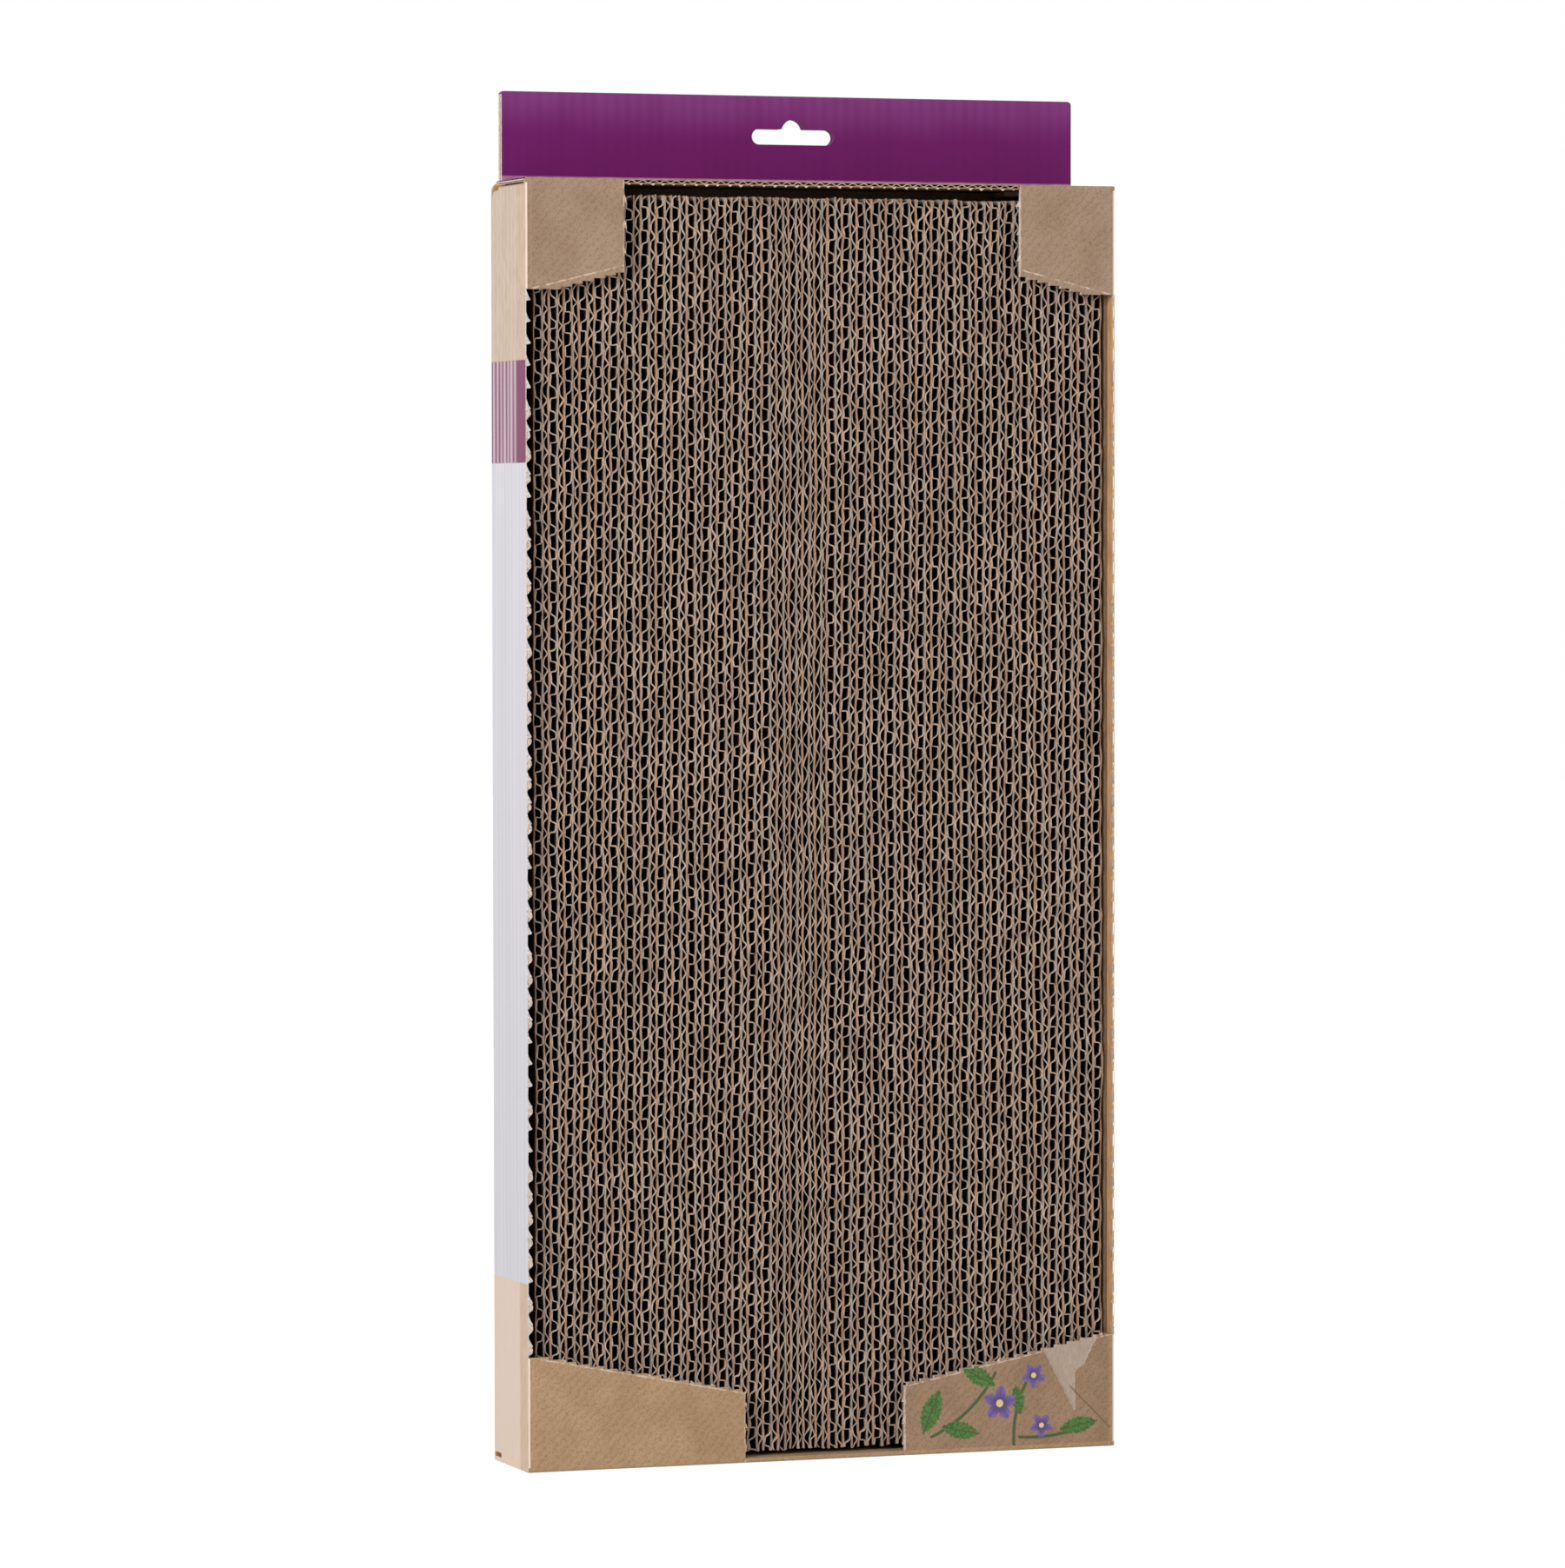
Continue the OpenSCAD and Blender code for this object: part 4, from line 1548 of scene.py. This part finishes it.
@dataclass
class Lid:
    """The top closure: a lid of fluted board with a torn front edge, its tuck and dust flaps."""

    boards: Boards
    liner_t: float = 0.3 * MM
    medium_t: float = 0.2 * MM
    fold_r: float = 0.45 * MM
    dust_r: float = 1.3 * MM
    dust_taper: float = 18.7 * MM
    dust_back: float = 2.04 * MM
    open_end: float = 2.0 * MM
    end_drop: float = 0.85 * MM
    cover: float = 2.0 * MM
    soft: float = 12.0
    wave: FluteSheet = FluteSheet(4.1 * MM, (
        (0.0, 0.0), (0.14, 0.14), (0.3, 0.72), (0.42, 0.98), (0.5, 1.0), (0.58, 0.98), (0.7, 0.72),
        (0.86, 0.14)))

    def point(self) -> bpy.types.Object:
        """Models one torn point of the lower liner, hanging under the origin."""
        rows = [[mm(x, 0.25 * drop, -drop) for x in (-half, 0, half)]
                for drop, half in ((-0.2, 0.8), (0.1, 0.7), (0.35, 0.4), (0.6, 0.06))]
        piece = sheet("torn_point", rows)
        return finished(piece, "SOLIDIFY", thickness=0.3 * MM, offset=0.0)

    def lower_dressed(self, liner: bpy.types.Object, front: float) -> bpy.types.Object:
        """Gives the lower liner grey-brown board darkened as painted shade, and a bare torn edge at the
        front.

        Args:
            liner: the lower liner.
            front: the Y of its front edge.

        Returns:
            The liner.
        """
        dressed(liner, self.boards.shaded_board, self.boards.raw)
        edit(liner)
        faced(lambda p: abs(p.y - front) < 1e-6)
        leave()
        return liner

    def lid(self, free: float) -> None:
        """Builds the lid: two liners and the fluting between them, open at the torn front edge.

        Args:
            free: the half width of the torn front edge, between the two top tabs.
        """
        low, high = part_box("top_lid")
        front = low.y + 0.1 * MM
        upper = block("lid_upper_liner", Vector((low.x, front, high.z - self.liner_t)), high)
        lower = block("lid_lower_liner", Vector((low.x + self.open_end, front, low.z)),
                      Vector((high.x - self.open_end, high.y, low.z + self.liner_t)))
        flutes = self.wave.pattern("lid_flutes", high.z - low.z - 2 * self.liner_t, self.medium_t,
                                   (low.y + 0.3 * MM, low.y + 2 * MM, high.y), 0.0, high.x - low.x)
        flutes.rotation_euler = (0, -math.pi / 2, 0)
        flutes.location = (low.x, 0, low.z + self.liner_t)
        settled(flutes)
        cut(flutes, high, Vector((1, 0, 0)), clear_outer=True)
        finished(flutes, "SOLIDIFY", thickness=self.medium_t, offset=0.0)
        parts = [dressed(upper, self.boards.kraft), self.lower_dressed(lower, front),
                 dressed(smoothed(flutes), self.boards.edge)]
        for side in Side:
            outer = sorted((side.value * high.x, side.value * (high.x - 0.2 * MM)))
            end = block("lid_end", Vector((outer[0], low.y + self.cover, low.z + self.end_drop)),
                        Vector((outer[1], high.y, high.z)))
            parts.append(dressed(end, self.boards.edge))
            # The fold covers take the darker kraft copy of painted shade.
            ends = sorted((side.value * free, side.value * abs(high.x)))
            cover = block("fold_cover", Vector((ends[0], low.y, low.z)),
                          Vector((ends[1], low.y + self.cover, high.z)))
            edit(cover)
            pick(Part.EDGE, lambda p: abs(p.y - low.y) < 1e-6 and abs(p.z - high.z) < 1e-6)
            bpy.ops.mesh.bevel(offset=self.fold_r, segments=6, affect="EDGES")
            leave()
            parts.append(dressed(smoothed(cover, self.soft), self.boards.kraft_top))
        pattern = self.point()
        dice = random.Random(8)
        count = round(2 * free / self.wave.pitch)
        for i in range(count):
            along = (i + dice.uniform(0.4, 0.6)) * self.wave.pitch
            place = Vector((along - free, low.y + 0.2 * MM, low.z))
            turn = Matrix.Rotation(dice.uniform(-0.4, 0.4), 4, "Y")
            bit = copied(pattern, "torn_point", Matrix.Translation(place) @ turn
                         @ Matrix.Scale(dice.uniform(0.6, 1.1), 4))
            parts.append(dressed(settled(bit), self.boards.edge))
        removed(pattern)
        mounted(joined("lid_board", parts), "lid", "kraft_board", "top_lid")

    def flaps(self, frame: dict) -> None:
        """Builds the dust flaps with a rounded outer fold, and dresses the tuck flap.
        """
        for side in Side:
            node = f"top_{side.name.lower()}_dust_flap"
            low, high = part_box(node)
            outer = side.value * max(abs(low.x), abs(high.x))
            inner = side.value * min(abs(low.x), abs(high.x))
            piece = block(f"{side.name.lower()}_dust_board", low, high)
            for y, taper in ((low.y, self.dust_taper), (high.y, -self.dust_back)):
                along = Vector((inner - outer, taper, 0))
                normal = Vector((-along.y, along.x, 0)) * (1 if (along.x > 0) == (taper < 0) else -1)
                cut(piece, Vector((outer, y, 0)), normal, clear_outer=True, use_fill=True)
            edit(piece)
            pick(Part.EDGE, lambda p: abs(p.x - outer) < 1e-6 and abs(p.z - high.z) < 1e-6)
            bpy.ops.mesh.bevel(offset=self.dust_r, segments=6, affect="EDGES")
            leave()
            mounted(smoothed(dressed(piece, self.boards.printed), self.soft),
                    f"{side.name.lower()}_dust", "kraft_board", node)
        # The tuck flap gets the board darkened as painted shade.
        dressed(frame["nodes"]["top_tuck_flap"], self.boards.shaded_board)

    def build(self, frame: dict) -> None:
        """Builds the whole closure.
        """
        self.lid(abs(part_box("top_left_tab")[1].x))
        self.flaps(frame)


@dataclass
class Header:
    """The double header: a front layer that rolls over the top, a rear layer and the hang slot."""

    boards: Boards
    slot_x: float = 1.4 * MM
    slot_w: float = 31 * MM
    slot_h: float = 5.5 * MM
    slot_low: float = 464.7 * MM
    hump_w: float = 8.6 * MM
    hump_h: float = 3.4 * MM
    flare_r: float = 0.56 * MM
    roll_r: float = 1.5 * MM
    corner_r: float = 1.3 * MM

    def cutter(self, low: Vector, high: Vector) -> bpy.types.Object:
        """Models the slot's shape: a bar with round ends and a round hump on its middle.

        Args:
            low: the header's lowest corner.
            high: its highest corner.

        Returns:
            The shape, longer than the header is thick.
        """
        front, back = low.y - 2 * MM, high.y + 2 * MM
        bar_top = self.slot_low + self.slot_h
        bar = block("slot_bar", Vector((-self.slot_w / 2, front, self.slot_low)),
                    Vector((self.slot_w / 2, back, bar_top)))
        edit(bar)
        pick(Part.EDGE, lambda p: abs(abs(p.x) - self.slot_w / 2) < 1e-6 and front < p.y < back
             and abs(p.z - bar_top + self.slot_h / 2) > 1e-5)
        bpy.ops.mesh.bevel(offset=self.slot_h / 2 * 0.999, segments=8, affect="EDGES")
        leave()
        radius = self.hump_w / 2
        bpy.ops.mesh.primitive_cylinder_add(
            vertices=48, radius=radius, depth=back - front, rotation=(math.pi / 2, 0, 0),
            location=(0, (front + back) / 2, bar_top + self.hump_h - radius))
        hump = settled(named("slot_hump"))
        cut(hump, Vector((0, 0, bar_top - self.slot_h / 2)), Vector((0, 0, 1)), clear_inner=True,
            use_fill=True)
        finished(bar, "BOOLEAN", operation="UNION", object=hump, solver="EXACT")
        removed(hump)
        edit(bar)
        pick(Part.EDGE, lambda p: abs(p.z - bar_top) < 1e-5 and abs(p.x) < self.hump_w
             and abs(p.y - (front + back) / 2) < 1e-5)
        bpy.ops.mesh.bevel(offset=self.flare_r, segments=5, affect="EDGES")
        leave()
        bar.location.x = self.slot_x
        return settled(bar)

    def rounded(self, low: Vector, high: Vector) -> bpy.types.Object:
        """Models the header's outline, with two rounded upper corners.

        Args:
            low: the header's lowest corner.
            high: its highest corner.

        Returns:
            The outline, longer than the header is thick.
        """
        room = Vector((0.01 * MM, 2 * MM, 0.01 * MM))
        piece = block("header_outline", low - room, high + room)
        edit(piece)
        middle = (low.x + high.x) / 2
        pick(Part.EDGE, lambda p: p.z > high.z and abs(p.x - middle) > high.x - middle)
        bpy.ops.mesh.bevel(offset=self.corner_r, segments=6, affect="EDGES")
        leave()
        return piece

    def front(self) -> bpy.types.Object:
        """Builds the front layer, drawn up and rolled back over the rear one."""
        low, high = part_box("header_front_layer")
        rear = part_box("header_rear_layer")[1]
        thick = high.z - rear.z
        piece = block("header_front_board", low, Vector((high.x, low.y + thick, rear.z)))
        edit(piece)
        pick(Part.FACE, lambda p: abs(p.z - rear.z) < 1e-6)
        bpy.ops.mesh.extrude_region_move(TRANSFORM_OT_translate={"value": (0, 0, thick)})
        pick(Part.FACE, lambda p: abs(p.y - low.y - thick) < 1e-6 and p.z > rear.z)
        back = (0, high.y - low.y - thick, 0)
        bpy.ops.mesh.extrude_region_move(TRANSFORM_OT_translate={"value": back})
        pick(Part.EDGE, lambda p: abs(p.z - high.z) < 1e-6 and abs(p.x - (low.x + high.x) / 2) < 1e-5
             and min(abs(p.y - low.y), abs(p.y - high.y)) < 1e-6)
        bpy.ops.mesh.bevel(offset=self.roll_r, segments=6, affect="EDGES")
        bpy.ops.mesh.select_all(action="SELECT")
        bpy.ops.mesh.normals_make_consistent()
        leave()
        return piece

    def build(self) -> None:
        """Builds both layers and cuts the slot through them."""
        low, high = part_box("header_front_layer")
        tool = self.cutter(low, high)
        outline = self.rounded(low, high)
        rear = block("header_rear_board", *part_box("header_rear_layer"))
        for piece, node, slot, board in (
                (self.front(), "header_front_layer", "printed_header_board", self.boards.header),
                (rear, "header_rear_layer", "kraft_board", self.boards.header)):
            finished(piece, "BOOLEAN", operation="INTERSECT", object=outline, solver="EXACT")
            finished(piece, "BOOLEAN", operation="DIFFERENCE", object=tool, solver="EXACT")
            dressed(piece, board, self.boards.edge)
            edit(piece)
            faced(lambda p: min(abs(p.x - low.x), abs(p.x - high.x)) < 1e-6)
            leave()
            mounted(smoothed(piece), "carton", slot, node)
        removed(tool, outline)


def main() -> None:
    """Loads the frame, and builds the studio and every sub-assembly."""
    logging.basicConfig(level=logging.INFO, format="%(name)s: %(message)s")
    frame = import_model()
    bpy.ops.object.select_all(action="DESELECT")
    Studio().build()
    boards = Boards.mixed()
    fields = {"rip": noise_field("rip", 0.0021, 2), "rend": noise_field("rend", 0.0029, 2)}
    Pad().build(sorted(n for n in frame["nodes"] if n.startswith("pad_strip_")))
    Walls(boards).build(frame)
    for side in Side:
        TornEdge(boards, side).build(fields)
        name = side.name.lower()
        # The top tabs wear the darker kraft copy of painted shade.
        lower = boards.kraft if side is Side.LEFT else boards.sprig
        Tab(boards, f"top_{name}_tab", side, Tab.TOP_SLOPE, boards.kraft_top).build(fields)
        Tab(boards, f"bottom_{name}_tab", side, Tab.LOW_SLOPE, lower).build(fields)
    Lid(boards).build(frame)
    Header(boards).build()
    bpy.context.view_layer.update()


if __name__ == "__main__":
    main()
